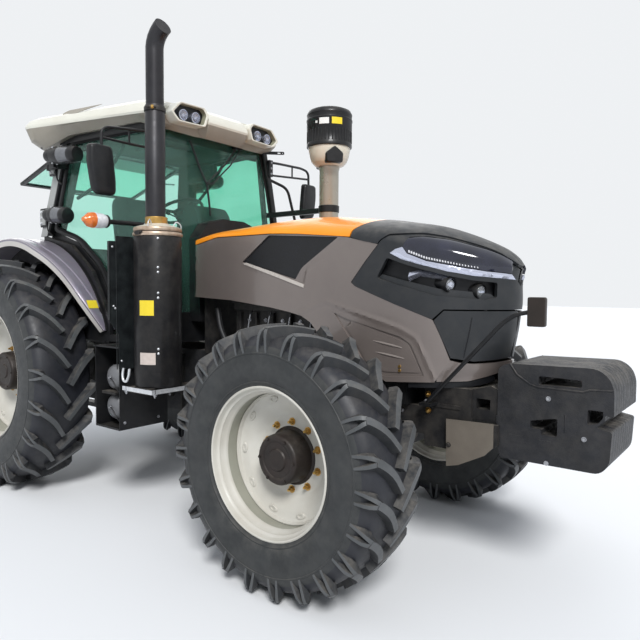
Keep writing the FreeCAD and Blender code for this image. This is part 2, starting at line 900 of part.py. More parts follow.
def hood_block(name, inset, floor, rear_drop=0):
    length = value(nose_start - hood_rear)
    sections = []
    for share, shoulder, crown in STRAIGHT_LINES:
        place = value(hood_rear) + length * share - (0 if share else rear_drop)
        sections.append(hood_loop(place, 0, shoulder, crown - inset, inset, floor))
    for degrees, shoulder, crown in NOSE_LINES:
        last = degrees == 90
        high = shoulder if last else crown - inset
        sections.append(hood_loop(value(nose_start), math.radians(degrees), shoulder, high, inset, floor))
    return skinned(name, sections, (0,))


def side_region(name, points):
    """A side view outline carried through the whole width. Points are ahead of the front axle and height."""
    return panel(name, "XZ_Plane", [(front(along), height) for along, height in points], -700, 700)


HOOD_UNDER = (
    (-1400, 1480),
    (-953, 1465),
    (-428, 1384),
    (-328, 1363),
    (-234, 1295),
    (266, 1029),
    (565, 1049),
    (840, 1190),
    (1000, 1190),
    (1000, 800),
    (-1400, 800),
)
NOSE_SIDE = (
    (108, 2050),
    (108, 1940),
    (200, 1789),
    (22, 1577),
    (55, 1555),
    (497, 1390),
    (588, 1175),
    (572, 900),
    (1100, 900),
    (1100, 2050),
)
VENT = ((-830, 1722), (-625, 1866), (-80, 1826), (-330, 1664), (-378, 1600))
LAMP_SLOT = ((320, 1648), (560, 1606), (900, 1552), (900, 1496), (560, 1530), (380, 1585))
LOWER_GRILLE = ((530, 1372), (690, 1388), (900, 1400), (900, 1206), (600, 1200))
LENS = ((332, 1642), (560, 1602), (900, 1548), (900, 1500), (560, 1534), (386, 1586))
RECESS = 12


def hood_support():
    """The upright panel behind the engine, with the hinge pin that the hood tilts on."""
    plate = box("support_plate", (rear(1580), rear(1600)), (-330, 330), (D.case_high, D.hood_hinge_z - 120))
    arms = [
        panel(f"support_arm_{index}", "XZ_Plane", [
            (hinge_x - 60, D.hood_hinge_z - 160),
            (hinge_x + 18, D.hood_hinge_z - 40),
            (hinge_x + 18, D.hood_hinge_z + 18),
            (hinge_x - 16, D.hood_hinge_z + 10),
            (hinge_x - 70, D.hood_hinge_z - 130),
        ], start, start + 20)
        for index, start in ((1, -215), (2, 195))
    ]
    pin = rod("hood_pin", "y", (hinge_x, D.hood_hinge_z), D.hood_pin_radius, -215, 215)
    return finish("hood_support", fused("hood_support_body", plate, pin, *arms))


hood_support()


def hood():
    """A thin shell with side vents, cut into the long hood and the dark nose with its lamp slots."""
    wall = value(D.hood_wall)
    shell = cut("hood_wall", hood_block("hood_outer", 0, 1000), hood_block("hood_inner", wall, 900, 50))
    ears = [
        box(f"hood_ear_{index}", (hinge_x - 30, hinge_x + 30), (start, start + 20), (D.hood_hinge_z - 25, 1918))
        for index, start in ((1, -190), (2, 170))
    ]
    bore = flat_sided_bore(
        "hood_pin_bore", "y", (hinge_x, D.hood_hinge_z), D.hood_pin_radius + D.running_gap, -230, 230,
    )
    skin = cut("recess_skin", hood_block("recess_outer", -5, 1000), hood_block("recess_inner", RECESS, 900, 50))
    regions = fused(
        "recess_regions", side_region("vent", VENT), side_region("lamp_slot", LAMP_SLOT),
        side_region("lower_grille", LOWER_GRILLE),
    )
    recesses = common("hood_recesses", skin, regions)
    trimmed = cut("hood_trimmed", shell, side_region("hood_under", HOOD_UNDER), recesses)
    whole = cut("hood_bored", fused("hood_with_ears", trimmed, *ears), bore)
    finish("hood_shell", cut("hood_body", whole, side_region("nose_region", NOSE_SIDE)))
    finish("hood_nose", common("hood_front", whole, side_region("nose_region_again", NOSE_SIDE)))


hood()


def headlamps():
    """A curved lens in each lamp slot, seated on the slot's floor."""
    seat = RECESS - value(D.seat_gap)
    skin = cut("lens_skin", hood_block("lens_outer", 3, 1000), hood_block("lens_inner", seat, 900, 50))
    return finish("headlamps", common("lenses", skin, side_region("lens_region", LENS)))


headlamps()


# Exhaust, air cleaner, tanks and steps
CAP_HEIGHT = 96


def exhaust_guard():
    base = (rear(D.exhaust_x), -D.exhaust_y, 0)
    drum = faceted("guard_drum", "z", base, [
        (D.guard_radius, D.guard_low),
        (D.guard_radius, D.guard_high),
        (D.guard_radius - 40, D.guard_high + 50),
        (D.sleeve_radius + 20, D.guard_high + CAP_HEIGHT),
    ], 20)
    foot = box(
        "guard_foot", (rear(D.exhaust_x) - 90, rear(D.exhaust_x) + 90),
        (-D.exhaust_y, -D.case_half_width), (D.guard_low - 60, D.guard_low),
    )
    return finish("exhaust_guard", fused("guard_body", drum, foot))


def exhaust_stack():
    """A sleeve with a narrower pipe above it that bends forward at its tip."""
    x = rear(D.exhaust_x)
    y = -D.exhaust_y
    low = D.guard_high + CAP_HEIGHT
    step = low + (D.pipe_top - low) * 0.64
    sleeve = faceted("stack_sleeve", "z", (x, y, 0), [(D.sleeve_radius, low), (D.sleeve_radius, step)], 12)
    pipe = tube("stack_pipe", (
        (x, y, step - 20),
        (x, y, D.pipe_top - 60),
        (x + 30, y, D.pipe_top + 20),
        (x + 90, y, D.pipe_top + 70),
    ), D.pipe_radius, 12)
    return finish("exhaust_stack", fused("stack_body", sleeve, pipe))


def heat_shield():
    x = rear(D.exhaust_x) - D.guard_radius - D.seat_gap
    plate = box("shield_plate", (x - 20, x), (-950, -656), (1000, D.guard_high))
    return finish("heat_shield", plate)


def side_tanks():
    """A bracket box open to the side, with two stacked round tanks in it."""
    x = (rear(1120), rear(1400))
    case = box("tank_box", x, (-950, -520), (590, 1150))
    hollow = box("tank_box_hollow", (x[0] + 15, x[1] - 15), (-960, -540), (610, 1130))
    shelf = cut("tank_box_cut", case, hollow)
    tanks = [
        faceted(f"air_tank_{index}", "y", (rear(1260), 0, z), [(85, -915), (85, -540)], 12)
        for index, z in ((1, 730), (2, 930))
    ]
    tie = box("tank_tie", (rear(1200), rear(1340)), (-520, -D.case_half_width), (800, 900))
    return finish("side_tanks", fused("tank_body", shelf, tie, *tanks))


def fuel_tank():
    body = panel("fuel_tank_body", "YZ_Plane", [
        (450, 620),
        (900, 620),
        (950, 680),
        (950, 1080),
        (880, 1120),
        (450, 1120),
    ], rear(1420), front(-908))
    tie = box("fuel_tank_tie", (rear(1500), rear(1800)), (D.case_half_width, 450), (700, 800))
    return finish("fuel_tank", fused("fuel_tank_all", body, tie))


def steps():
    """Three treads between two side plates under the left door."""
    cheeks = [
        box(f"step_cheek_{index}", (rear(x), rear(x + 12)), (640, 1000), (400, D.cab_floor_z))
        for index, x in ((1, 1030), (2, 1388))
    ]
    treads = [
        box(f"step_{index}", (rear(1030), rear(1400)), (y, y + 200), (z, z + 25))
        for index, y, z in ((1, 800, 400), (2, 750, 650), (3, 700, 900))
    ]
    return finish("cab_steps", fused("steps_body", *cheeks, *treads))


def air_cleaner():
    x = rear(D.stack_x)
    y = D.stack_y
    body = faceted("cleaner_body", "z", (x, y, 0), [
        (D.stack_radius, 2080),
        (D.stack_radius, 2480),
        (120, 2500),
        (D.cleaner_radius - 12, D.cleaner_low),
        (D.cleaner_radius, D.cleaner_low + 20),
        (D.cleaner_radius, D.cleaner_high - 20),
        (D.cleaner_radius - 20, D.cleaner_high),
    ], 18)
    bracket = box("cleaner_bracket", (rear(1386.5), x), (y + 15, y + 45), (2130, 2170))
    return finish("precleaner", fused("cleaner_all", body, bracket))


exhaust_guard()
exhaust_stack()
heat_shield()
side_tanks()
fuel_tank()
steps()
air_cleaner()


# Cab
def cab_base():
    """Floor, side walls over the fenders' arc, rear wall and the bulkhead under the windshield."""
    low = D.cab_floor_z
    floor_top = low + D.cab_floor_thick
    half = D.cab_half_width
    floor = panel("cab_floor", "XY_Plane", [
        (rear(D.cab_rear_x), -half),
        (rear(950), -half),
        (rear(D.cab_front_x), -D.cab_front_half_width - 30),
        (rear(D.cab_front_x), D.cab_front_half_width + 30),
        (rear(950), half),
        (rear(D.cab_rear_x), half),
    ], low, floor_top)
    wall = panel("cab_side_wall", "XZ_Plane", [
        (rear(D.cab_rear_x), floor_top),
        (rear(1005), floor_top),
        (rear(1005), 1288),
        (rear(940), 1420),
        (rear(780), 1660),
        (rear(500), 1860),
        (rear(D.cab_rear_x), 1950),
    ], half - D.cab_wall, half)
    rear_wall = box(
        "cab_rear_wall", (rear(D.cab_rear_x), rear(D.cab_rear_x) + D.cab_wall),
        (D.cab_wall - half, half - D.cab_wall), (floor_top, 1870),
    )
    bulkhead = box(
        "bulkhead", (rear(D.cab_front_x) - 30, rear(D.cab_front_x)),
        (43 - D.cab_front_half_width, D.cab_front_half_width - 43), (floor_top, 1350),
    )
    cowl = panel("cowl", "YZ_Plane", [
        (-330, 1300),
        (330, 1300),
        (330, 1900),
        (250, 2010),
        (110, 2050),
        (-110, 2050),
        (-250, 2010),
        (-330, 1900),
    ], rear(D.cab_front_x) - 14, rear(1525))
    return finish("cab_base", fused(
        "cab_base_body", floor, wall, mirrored("cab_right_wall", wall), rear_wall, bulkhead, cowl,
    ))


door_hinge_x = rear(D.door_hinge_x)
# Door hinges: number, height, how far forward the post's arm reaches and its inner edge
DOOR_HINGES = (
    (1, 2080, door_hinge_x + 12, 690),
    (2, 2480, door_hinge_x + 50, 640),
)


def cab_frame():
    """Four posts, tied at the top by a ring that carries the roof, with the grab rail over the steps."""
    base = D.cab_floor_z + D.cab_floor_thick
    top = D.roof_low - 60
    front_post = post(
        "front_post",
        (base, (rear(1400), rear(1430)), (590, 650)),
        (top, (rear(1305), rear(1365)), (480, 540)),
    )
    rear_post = post(
        "rear_post",
        (1950, (rear(100), rear(160)), (660, 720)),
        (top, (rear(230), rear(300)), (590, 650)),
    )
    ring_outer = panel("ring_outer", "XY_Plane", [
        (rear(230), -650),
        (rear(1365), -540),
        (rear(1365), 540),
        (rear(230), 650),
    ], top, D.roof_low)
    ring_inner = panel("ring_inner", "XY_Plane", [
        (rear(300), -580),
        (rear(1300), -480),
        (rear(1300), 480),
        (rear(300), 580),
    ], top - 10, D.roof_low + 10)
    ring = cut("roof_ring", ring_outer, ring_inner)
    hinges = []
    for index, height, x_pair, y_low in DOOR_HINGES:
        if index == 2:
            hinges.append(rod(
                "door_pin_2", "z", (door_hinge_x, D.door_hinge_y), D.door_pin_radius, height - 20, height + 40,
            ))
        else:
            hinges.append(faceted(f"door_pin_{index}", "z", (door_hinge_x, D.door_hinge_y, 0), [
                (D.door_pin_radius, height - 20),
                (D.door_pin_radius, height + 40),
            ], 12))
        hinges.append(box(
            f"door_pin_arm_{index}", (door_hinge_x - 12, x_pair), (y_low, D.door_hinge_y + 12),
            (height + 20.5, height + 40),
        ))
    rail = tube("grab_rail", (
        (rear(1345), 525, 2470),
        (rear(1420), 740, 2400),
        (rear(1425), 850, 2100),
        (rear(1425), 850, 1360),
        (rear(1415), 630, 1240),
    ), 12)
    plain_side = fused("plain_posts", front_post, rear_post, *hinges)
    railed_post = fused("railed_front_post", front_post, rail)
    left_side = fused("left_posts", railed_post, rear_post, *hinges)
    right_side = mirrored("right_posts", plain_side)
    return finish("cab_frame", fused("cab_frame_body", ring, left_side, right_side))


def windshield():
    top = D.roof_low - 60
    return finish("windshield", post(
        "windshield_pane",
        (1350, (rear(1406), rear(1414)), (-575, 575)),
        (top, (rear(1328), rear(1336)), (-475, 475)),
    ))


def rear_window():
    """The hinged pane, held open behind the cab."""
    hinge = D.roof_low - 40
    pane = panel("rear_pane", "XZ_Plane", [
        (rear(229.7), hinge),
        (rear(-575), hinge - 160),
        (rear(-580), hinge - 138),
        (rear(225), hinge + 22),
    ], -580, 580)
    return finish("rear_window", pane)


# Roof levels: share of the way up from its underside, inset at the sides and inset at the front
ROOF_LEVELS = (
    (0, 60, 100),
    (0.42, 4, 6),
    (0.60, 0, 0),
    (0.90, 60, 90),
    (1, 150, 230),
)
LAMP_PODS = (235, 550)


def roof():
    """A shell in levels: inset underside, full brim, crowned top, with two lamp pods in its brow."""
    rise = D.roof_high - D.roof_low
    sections = []
    for share, inset, front_inset in ROOF_LEVELS:
        half = D.roof_half_width - inset
        back = rear(D.roof_rear_x) + inset
        nose = rear(D.roof_front_x) - front_inset
        left = [(back, half - 130), (back + 45, half - 45), (back + 130, half), (nose - 480, half)]
        left += [(nose - 120, half - 60), (nose - 25, half - 160), (nose, half - 320)]
        loop = left + [(along, -across) for along, across in reversed(left)]
        sections.append([corner(along, across, D.roof_low + rise * share) for along, across in loop])
    pod = box(
        "lamp_pod", (rear(D.roof_front_x) - 160, rear(D.roof_front_x)), LAMP_PODS,
        (D.roof_mid - 30, D.roof_mid + 65),
    )
    return finish("roof", fused("roof_all", skinned("roof_body", sections), pod, mirrored("right_lamp_pod", pod)))


FENDER_SPAN = (16, 132)
FENDER_SIDES = 12


def fenders():
    """A curved shell over each rear wheel, tapered in plan towards its front tip."""
    slices = []
    for index in range(FENDER_SIDES + 1):
        angle = math.radians(FENDER_SPAN[0] + (FENDER_SPAN[1] - FENDER_SPAN[0]) * index / FENDER_SIDES)
        outer = D.fender_outer - 160 * max(0, 1 - index / 5)
        loop = []
        for radius, across in (
            (D.fender_radius - D.fender_thick, D.cab_half_width),
            (D.fender_radius, D.cab_half_width),
            (D.fender_radius, outer - 30),
            (D.fender_radius - 14, outer),
            (D.fender_radius - D.fender_thick - 14, outer),
            (D.fender_radius - D.fender_thick, outer - 30),
        ):
            loop.append(turned_point("y", (rear_axle_x, 0, rear_axle_z), radius, across, angle))
        slices.append(loop)
    left_and_right(("", "fender"), skinned("fender_shell", slices))


# The door's and its pane's outlines: distance ahead of the rear axle and height
DOOR_POINTS = (
    (1035, 1210),
    (1385, 1210),
    (1310, 2570),
    (330, 2570),
    (215, 1985),
    (520, 1895),
    (800, 1690),
    (968, 1440),
    (1035, 1300),
)
PANE_POINTS = (
    (1085, 1290),
    (1325, 1290),
    (1262, 2515),
    (375, 2515),
    (280, 2035),
    (550, 1945),
    (840, 1725),
    (1015, 1470),
    (1085, 1320),
)
# Door sleeves: number, height, where the arm turns in to the door's edge, and how far in it goes
DOOR_SLEEVES = (
    (1, 2080, door_hinge_x + 72, 672),
    (2, 2480, door_hinge_x + 155, 635),
)
DOOR_LEAN = 4.4
DOOR_TOE = 5.4


def door_panel(name, points, low, high):
    """A panel in the left door's plane, which leans in to the roof and closes in to the front."""
    solid = panel(name, "XZ_Plane", [(x - 150, z - 2100) for x, z in points], low, high)
    lean = FreeCAD.Rotation(Vector(1, 0, 0), DOOR_LEAN)
    toe = FreeCAD.Rotation(Vector(0, 0, 1), -DOOR_TOE)
    solid.Placement = FreeCAD.Placement(corner(rear(150), 700, 2100), toe.multiply(lean), Vector())
    return solid


def doors():
    frame = door_panel("door_plate", DOOR_POINTS, -D.door_thick, 0)
    plate = cut("door_frame", frame, door_panel("door_window", PANE_POINTS, -100, 100))
    place = (door_hinge_x, D.door_hinge_y)
    hinges = []
    bores = []
    for index, height, reach, inner in DOOR_SLEEVES:
        z = (height - 20, height + 20)
        outer = D.door_hinge_y + 8
        hinges.append(faceted(f"sleeve_{index}", "z", (*place, 0), [(15.5, z[0]), (15.5, z[1])], 8))
        hinges.append(box(f"door_arm_{index}", (door_hinge_x, reach), (outer - 20, outer), z))
        hinges.append(box(f"door_leg_{index}", (reach - 20, reach), (inner, outer), z))
        bores.append(flat_sided_bore(
            f"sleeve_bore_{index}", "z", place, D.door_pin_radius + D.running_gap, height - 40, height + 40,
        ))
    left_and_right(("", "door"), cut("door_hung", fused("door_all", plate, *hinges), *bores))
    left_and_right(("", "door_glass"), door_panel("door_pane", PANE_POINTS, -23, -17))


def seat():
    cushion = box("cushion", (rear(330), rear(800)), (-240, 240), (1600, 1720))
    back = panel("seat_back", "XZ_Plane", [
        (rear(330), 1640),
        (rear(440), 1640),
        (rear(310), 2330),
        (rear(220), 2330),
    ], -230, 230)
    stand = box("seat_stand", (rear(400), rear(720)), (-180, 180), (D.cab_floor_z + D.cab_floor_thick, 1600))
    return finish("seat", fused("seat_all", cushion, back, stand))


WHEEL_RADIUS = 200


def console():
    """Dash hump with the steering column and wheel."""
    base = D.cab_floor_z + D.cab_floor_thick
    dash = panel("dash", "XZ_Plane", [
        (rear(1120), base),
        (rear(1340), base),
        (rear(1330), 2100),
        (rear(1240), 2190),
        (rear(1130), 2120),
    ], -170, 170)
    hub = (rear(900), 0, 2165)
    tilt = FreeCAD.Placement(Vector(), FreeCAD.Rotation(Vector(0, 1, 0), -25), corner(*hub))
    ring = faceted_ring("wheel_ring", "z", hub, [
        (WHEEL_RADIUS - 14, 0),
        (WHEEL_RADIUS, -14),
        (WHEEL_RADIUS + 14, 0),
        (WHEEL_RADIUS, 14),
    ], 18)
    spoke = box("wheel_spoke", (hub[0] - 20, hub[0] + 20), (5 - WHEEL_RADIUS, WHEEL_RADIUS - 5), (2158, 2172))
    for piece in (ring, spoke):
        piece.Placement = tilt.multiply(piece.Placement)
    column = tube("column", ((rear(1180), 0, 1990), (rear(1040), 0, 2060), hub), 25)
    return finish("steering_console", fused("console_all", dash, ring, column, spoke))


def mirrors():
    """Side mirrors on tube arms from the front posts, and the blind-spot mirror ahead of the hood."""
    post_block = box("mirror_post", (rear(1369.3), rear(1396)), (500, 550), (2490, 2612))
    arm = tube("mirror_arm", (
        (rear(1384), 530, 2594),
        (rear(1384), 640, 2598),
        (rear(1375), D.mirror_y - 40, 2560),
        (rear(1375), D.mirror_y, 2440),
    ), 10)
    lower_arm = tube("mirror_lower_arm", (
        (rear(1384), 530, 2505),
        (rear(1375), D.mirror_y - 14, 2492),
    ), 9)
    strut = box("mirror_strut", (rear(1374), rear(1386)), (764, 776), (2500, 2592))
    head = box("mirror_head", (rear(1350), rear(1400)), (D.mirror_y - 95, D.mirror_y + 95), (2100, 2460))
    left = fused("left_mirror", post_block, arm, lower_arm, strut, head)
    mast = tube("front_mirror_rod", (
        (front(600), -330, 915),
        (front(720), -330, 1180),
        (front(905), -330, 1330),
        (front(1000), -330, 1380),
    ), 11)
    plate = box("front_mirror_plate", (front(985), front(1085)), (-350, -310), (1350, 1510))
    foot = box("front_mirror_foot", (front(560), front(640)), (-345, -D.frame_half_width), (900, 940))
    front_mirror = fused("front_mirror", mast, plate, foot)
    return finish("mirrors", grouped(
        "all_mirrors", left, mirrored("right_mirror", left), front_mirror,
    ))


def cab_lamps():
    """Work lamps in the roof's pods and turn lamps on stems from the front posts."""
    face = rear(D.roof_front_x)
    middle = D.roof_mid + 17
    roof_lamps = [
        faceted(f"roof_lamp_{index}", "x", (face, y, middle), [(36, 0), (36, 16)], 10)
        for index, y in ((1, 315), (2, 465))
    ]
    turn = faceted("turn_lamp", "x", (rear(1400), 1115, 2000), [(45, -65), (45, 65)], 10)
    stem = box("turn_stem", (rear(1372), rear(1398)), (588, 1100), (1988, 2012))
    left = grouped("left_cab_lamps", *roof_lamps, fused("left_turn", turn, stem))
    return finish("cab_lamps", both_sides("all_lamps", left))


cab_base()
cab_frame()
windshield()
rear_window()
roof()
fenders()
doors()
seat()
console()
mirrors()
cab_lamps()

doc.recompute()
for thing in doc.Objects:
    for state in ("Invalid", "Error"):
        if state in thing.State:
            raise RuntimeError(f"{thing.Name} is {state}")
os.makedirs("parts", exist_ok=True)
for name, solid in SUB_PARTS:
    shape = solid.Shape
    if shape.isNull() or not shape.isValid():
        raise RuntimeError(f"{name} has no valid shape")
    shape.exportStep(f"parts/{name}.step")
    box_of = shape.BoundBox
    print(f"{name}: {len(shape.Solids)} solids, {shape.Volume / 1e6:.2f} litres, "
          f"x {box_of.XMin:.0f} {box_of.XMax:.0f} y {box_of.YMin:.0f} {box_of.YMax:.0f} "
          f"z {box_of.ZMin:.0f} {box_of.ZMax:.0f}")
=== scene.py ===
from math import acos, asin, cos, dist, exp, hypot, pi, radians, sin

import bmesh
import bpy
import numpy as np
from mathutils import Matrix, Vector
from mathutils.geometry import delaunay_2d_cdt


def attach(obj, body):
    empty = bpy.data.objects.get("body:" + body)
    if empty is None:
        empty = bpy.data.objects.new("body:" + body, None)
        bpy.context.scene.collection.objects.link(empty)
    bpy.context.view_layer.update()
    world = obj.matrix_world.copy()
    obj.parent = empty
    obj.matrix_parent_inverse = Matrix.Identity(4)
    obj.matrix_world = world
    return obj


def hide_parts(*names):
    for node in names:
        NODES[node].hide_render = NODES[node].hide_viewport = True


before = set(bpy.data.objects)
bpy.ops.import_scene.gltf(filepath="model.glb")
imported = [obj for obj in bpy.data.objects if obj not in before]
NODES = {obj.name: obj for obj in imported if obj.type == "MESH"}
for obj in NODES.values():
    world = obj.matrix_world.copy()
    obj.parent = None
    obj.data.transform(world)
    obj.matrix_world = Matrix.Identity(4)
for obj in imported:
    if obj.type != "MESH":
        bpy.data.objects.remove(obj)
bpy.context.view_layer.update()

# Lengths are in millimetres: x ahead of the rear axle, y to the left, z above the ground
REAR_AXLE = 1575
FRONT_AXLE = 2868
FRONT_RADIUS, FRONT_HALF, FRONT_Y = 682.5, 200, 910
REAR_RADIUS, REAR_HALF, REAR_Y = 876, 225, 948
UP, AHEAD, LEFT = (0, 0, 1), (1, 0, 0), (0, 1, 0)
DOOR_PIN_X, DOOR_PIN_Y = 190, 725
DRUM_X, DRUM_Y, DRUM_RADIUS, STACK_Y = 1600, -747, 152, -763
CLEANER_X, CLEANER_Y = 2050, 500
WEIGHT_BACK, WEIGHT_PITCH = FRONT_AXLE + 837, 50
FENDER_RADIUS = 1045
SCREEN_X, SCREEN_LOW, SCREEN_LEAN = 1410, 1350, 0.0634
ENGINE_SIDE, RAIL_SIDE = 281, 261


def around(count, shift=0):
    """Evenly spaced angles of a full turn."""
    return [2 * pi * (k + shift) / count for k in range(count)]


def polar(x, y, radius, a):
    """The point at radius and angle a from (x, y)."""
    return x + radius * cos(a), y + radius * sin(a)


def span(side, near, far):
    """A range across the tractor, from two distances on one side of its middle."""
    return sorted((side * near, side * far))


# Camera and light: the solved camera's place in metres, yaw, pitch and roll in degrees, lens in millimetres
CAMERA_PLACE = (3.285, -3.211, 1.535)
CAMERA_TURN = (37.883, 2.883, 0.424)
CAMERA_LENS = 33.922


def camera():
    """The photograph's view, from the solved camera."""
    yaw, pitch, roll = (radians(a) for a in CAMERA_TURN)
    ahead = Vector((-sin(yaw) * cos(pitch), cos(yaw) * cos(pitch), -sin(pitch)))
    flat = Vector((cos(yaw), sin(yaw), 0))
    rise = flat.cross(ahead)
    right = flat * cos(roll) + rise * sin(roll)
    up = rise * cos(roll) - flat * sin(roll)
    data = bpy.data.cameras.new("photo_camera")
    data.sensor_width = 36
    data.lens = CAMERA_LENS
    data.clip_end = 200
    camera_object = bpy.data.objects.new("photo_camera", data)
    bpy.context.collection.objects.link(camera_object)
    rows = [(right[k], up[k], -ahead[k], CAMERA_PLACE[k]) for k in range(3)]
    camera_object.matrix_world = Matrix((*rows, (0, 0, 0, 1)))
    bpy.context.scene.camera = camera_object


def add_node(tree, kind, **values):
    """A shader node with its values set; _ stands for a space in their names."""
    made = tree.nodes.new("ShaderNode" + kind)
    for socket, value in values.items():
        made.inputs[socket.replace("_", " ")].default_value = value
    return made


def pale_when_seen(tree, shader, out):
    """Camera, mirror and glass rays see a plain pale colour where shader lights the object."""
    path = add_node(tree, "LightPath")
    share = path.outputs["Is Camera Ray"]
    for ray in ("Is Transmission Ray", "Is Glossy Ray"):
        more = add_node(tree, "Math")
        more.operation = "MAXIMUM"
        tree.links.new(share, more.inputs[0])
        tree.links.new(path.outputs[ray], more.inputs[1])
        share = more.outputs[0]
    pale = add_node(tree, "Background", Color=(0.86, 0.88, 0.90, 1), Strength=1.0)
    mix = add_node(tree, "MixShader")
    tree.links.new(share, mix.inputs[0])
    tree.links.new(shader, mix.inputs[1])
    tree.links.new(pale.outputs[0], mix.inputs[2])
    tree.links.new(mix.outputs[0], out)


def studio():
    """Pale floor, an even sky that is brighter overhead, and one broad key light."""
    world = bpy.data.worlds.new("studio")
    bpy.context.scene.world = world
    world.use_nodes = True
    tree = world.node_tree
    tree.nodes.clear()
    out = add_node(tree, "OutputWorld")
    split = add_node(tree, "SeparateXYZ")
    tree.links.new(add_node(tree, "TexCoord").outputs["Generated"], split.inputs[0])
    ramp = add_node(tree, "ValToRGB")
    stops = ramp.color_ramp.elements
    stops.new(0.12)
    for stop, level, colour in zip(stops, (0.0, 0.12, 0.75), (
        (0.20, 0.21, 0.22, 1), (0.50, 0.54, 0.58, 1), (0.88, 0.92, 1.0, 1),
    )):
        stop.position = level
        stop.color = colour
    tree.links.new(split.outputs["Z"], ramp.inputs[0])
    sky = add_node(tree, "Background", Strength=0.72)
    tree.links.new(ramp.outputs[0], sky.inputs["Color"])
    pale_when_seen(tree, sky.outputs[0], out.inputs["Surface"])
    for name, energy, size, place, aim in (("key", 3.0, 0.30, (5.5, -5.0, 7.5), (0.5, 0, 1.2)),
        ("rear_fill", 0.7, 0.8, (-6.0, 5.0, 5.0), (0, 0, 1.2))):
        data = bpy.data.lights.new(name, "SUN")
        data.energy = energy
        data.angle = size
        lamp = bpy.data.objects.new(name, data)
        bpy.context.collection.objects.link(lamp)
        lamp.location = place
        lamp.visible_transmission = False
        lamp.rotation_euler = (Vector(aim) - Vector(place)).to_track_quat("-Z", "Y").to_euler()
    bpy.context.scene.view_settings.view_transform = "Standard"
    mesh = bpy.data.meshes.new("floor")
    mesh.from_pydata([(-60, -60, 0), (60, -60, 0), (60, 60, 0), (-60, 60, 0)], [], [(0, 1, 2, 3)])
    floor = bpy.data.objects.new("floor", mesh)
    bpy.context.collection.objects.link(floor)
    mat = bpy.data.materials.new("floor_pale")
    mat.use_nodes = True
    bsdf = mat.node_tree.nodes["Principled BSDF"]
    bsdf.inputs["Base Color"].default_value = (0.78, 0.79, 0.80, 1)
    bsdf.inputs["Roughness"].default_value = 0.85
    mesh.materials.append(mat)


# Materials
DUST = (168, 160, 148)


def tone(red, green, blue):
    """An sRGB colour from 0 to 255 as Blender's linear one."""
    channels = []
    for value in (red, green, blue):
        value /= 255
        channels.append(value / 12.92 if value <= 0.04045 else ((value + 0.055) / 1.055) ** 2.4)
    return (*channels, 1)


def material(
    name, colour, second, rough, scale, metal=0.0, coat=0.0, coat_rough=0.08, bump=0.0, grain=220.0,
    depth=0.001, dust=0.0, spread=0.06, clear=0.0, index=1.45, wave=None, spec=0.5,
):
    """A procedural finish: two tones in soft patches, uneven gloss, a fine grain and dust on what faces up."""
    mat = bpy.data.materials.new(name)
    mat.use_nodes = True
    tree = mat.node_tree
    bsdf = tree.nodes["Principled BSDF"]
    for socket, value in (("Metallic", metal), ("Coat Weight", coat), ("Coat Roughness", coat_rough),
        ("Transmission Weight", clear), ("IOR", index), ("Specular IOR Level", spec)):
        bsdf.inputs[socket].default_value = value
    place = add_node(tree, "TexCoord")

    def noise(size, detail, roughness=0.55):
        made = add_node(tree, "TexNoise", Scale=size, Detail=detail, Roughness=roughness)
        tree.links.new(place.outputs["Object"], made.inputs["Vector"])
        return made.outputs["Fac"]

    def spread_over(value, low, high, start=0.3, end=0.7):
        made = add_node(tree, "MapRange", From_Min=start, From_Max=end, To_Min=low, To_Max=high)
        tree.links.new(value, made.inputs["Value"])
        return made.outputs["Result"]

    def blend(share, one, two):
        mix = add_node(tree, "Mix")
        mix.data_type = "RGBA"
        tree.links.new(share, mix.inputs["Factor"])
        for socket, source in ((mix.inputs["A"], one), (mix.inputs["B"], two)):
            if isinstance(source, tuple):
                socket.default_value = source
            else:
                tree.links.new(source, socket)
        return mix.outputs["Result"]

    result = blend(spread_over(noise(scale, 5), 0, 1), tone(*colour), tone(*second))
    if dust:
        up = add_node(tree, "NewGeometry")
        split = add_node(tree, "SeparateXYZ")
        tree.links.new(up.outputs["Normal"], split.inputs[0])
        both = add_node(tree, "Math")
        both.operation = "MULTIPLY"
        tree.links.new(spread_over(split.outputs["Z"], 0.15, 1, 0.1, 0.95), both.inputs[0])
        tree.links.new(spread_over(noise(14, 8, 0.7), 0, dust, 0.38, 0.68), both.inputs[1])
        result = blend(both.outputs[0], result, tone(*DUST))
    if wave:
        cells = add_node(tree, "TexVoronoi", Scale=wave)
        tree.links.new(place.outputs["Object"], cells.inputs["Vector"])
        result = blend(spread_over(cells.outputs["Distance"], 0, 1, 0.25, 0.45), result, tone(8, 9, 10))
    tree.links.new(result, bsdf.inputs["Base Color"])
    tree.links.new(spread_over(noise(scale * 5, 4), rough - spread, rough + spread), bsdf.inputs["Roughness"])
    if bump:
        relief = add_node(tree, "Bump", Strength=bump, Distance=depth)
        tree.links.new(noise(grain, 3), relief.inputs["Height"])
        tree.links.new(relief.outputs["Normal"], bsdf.inputs["Normal"])
    return mat


M = {}


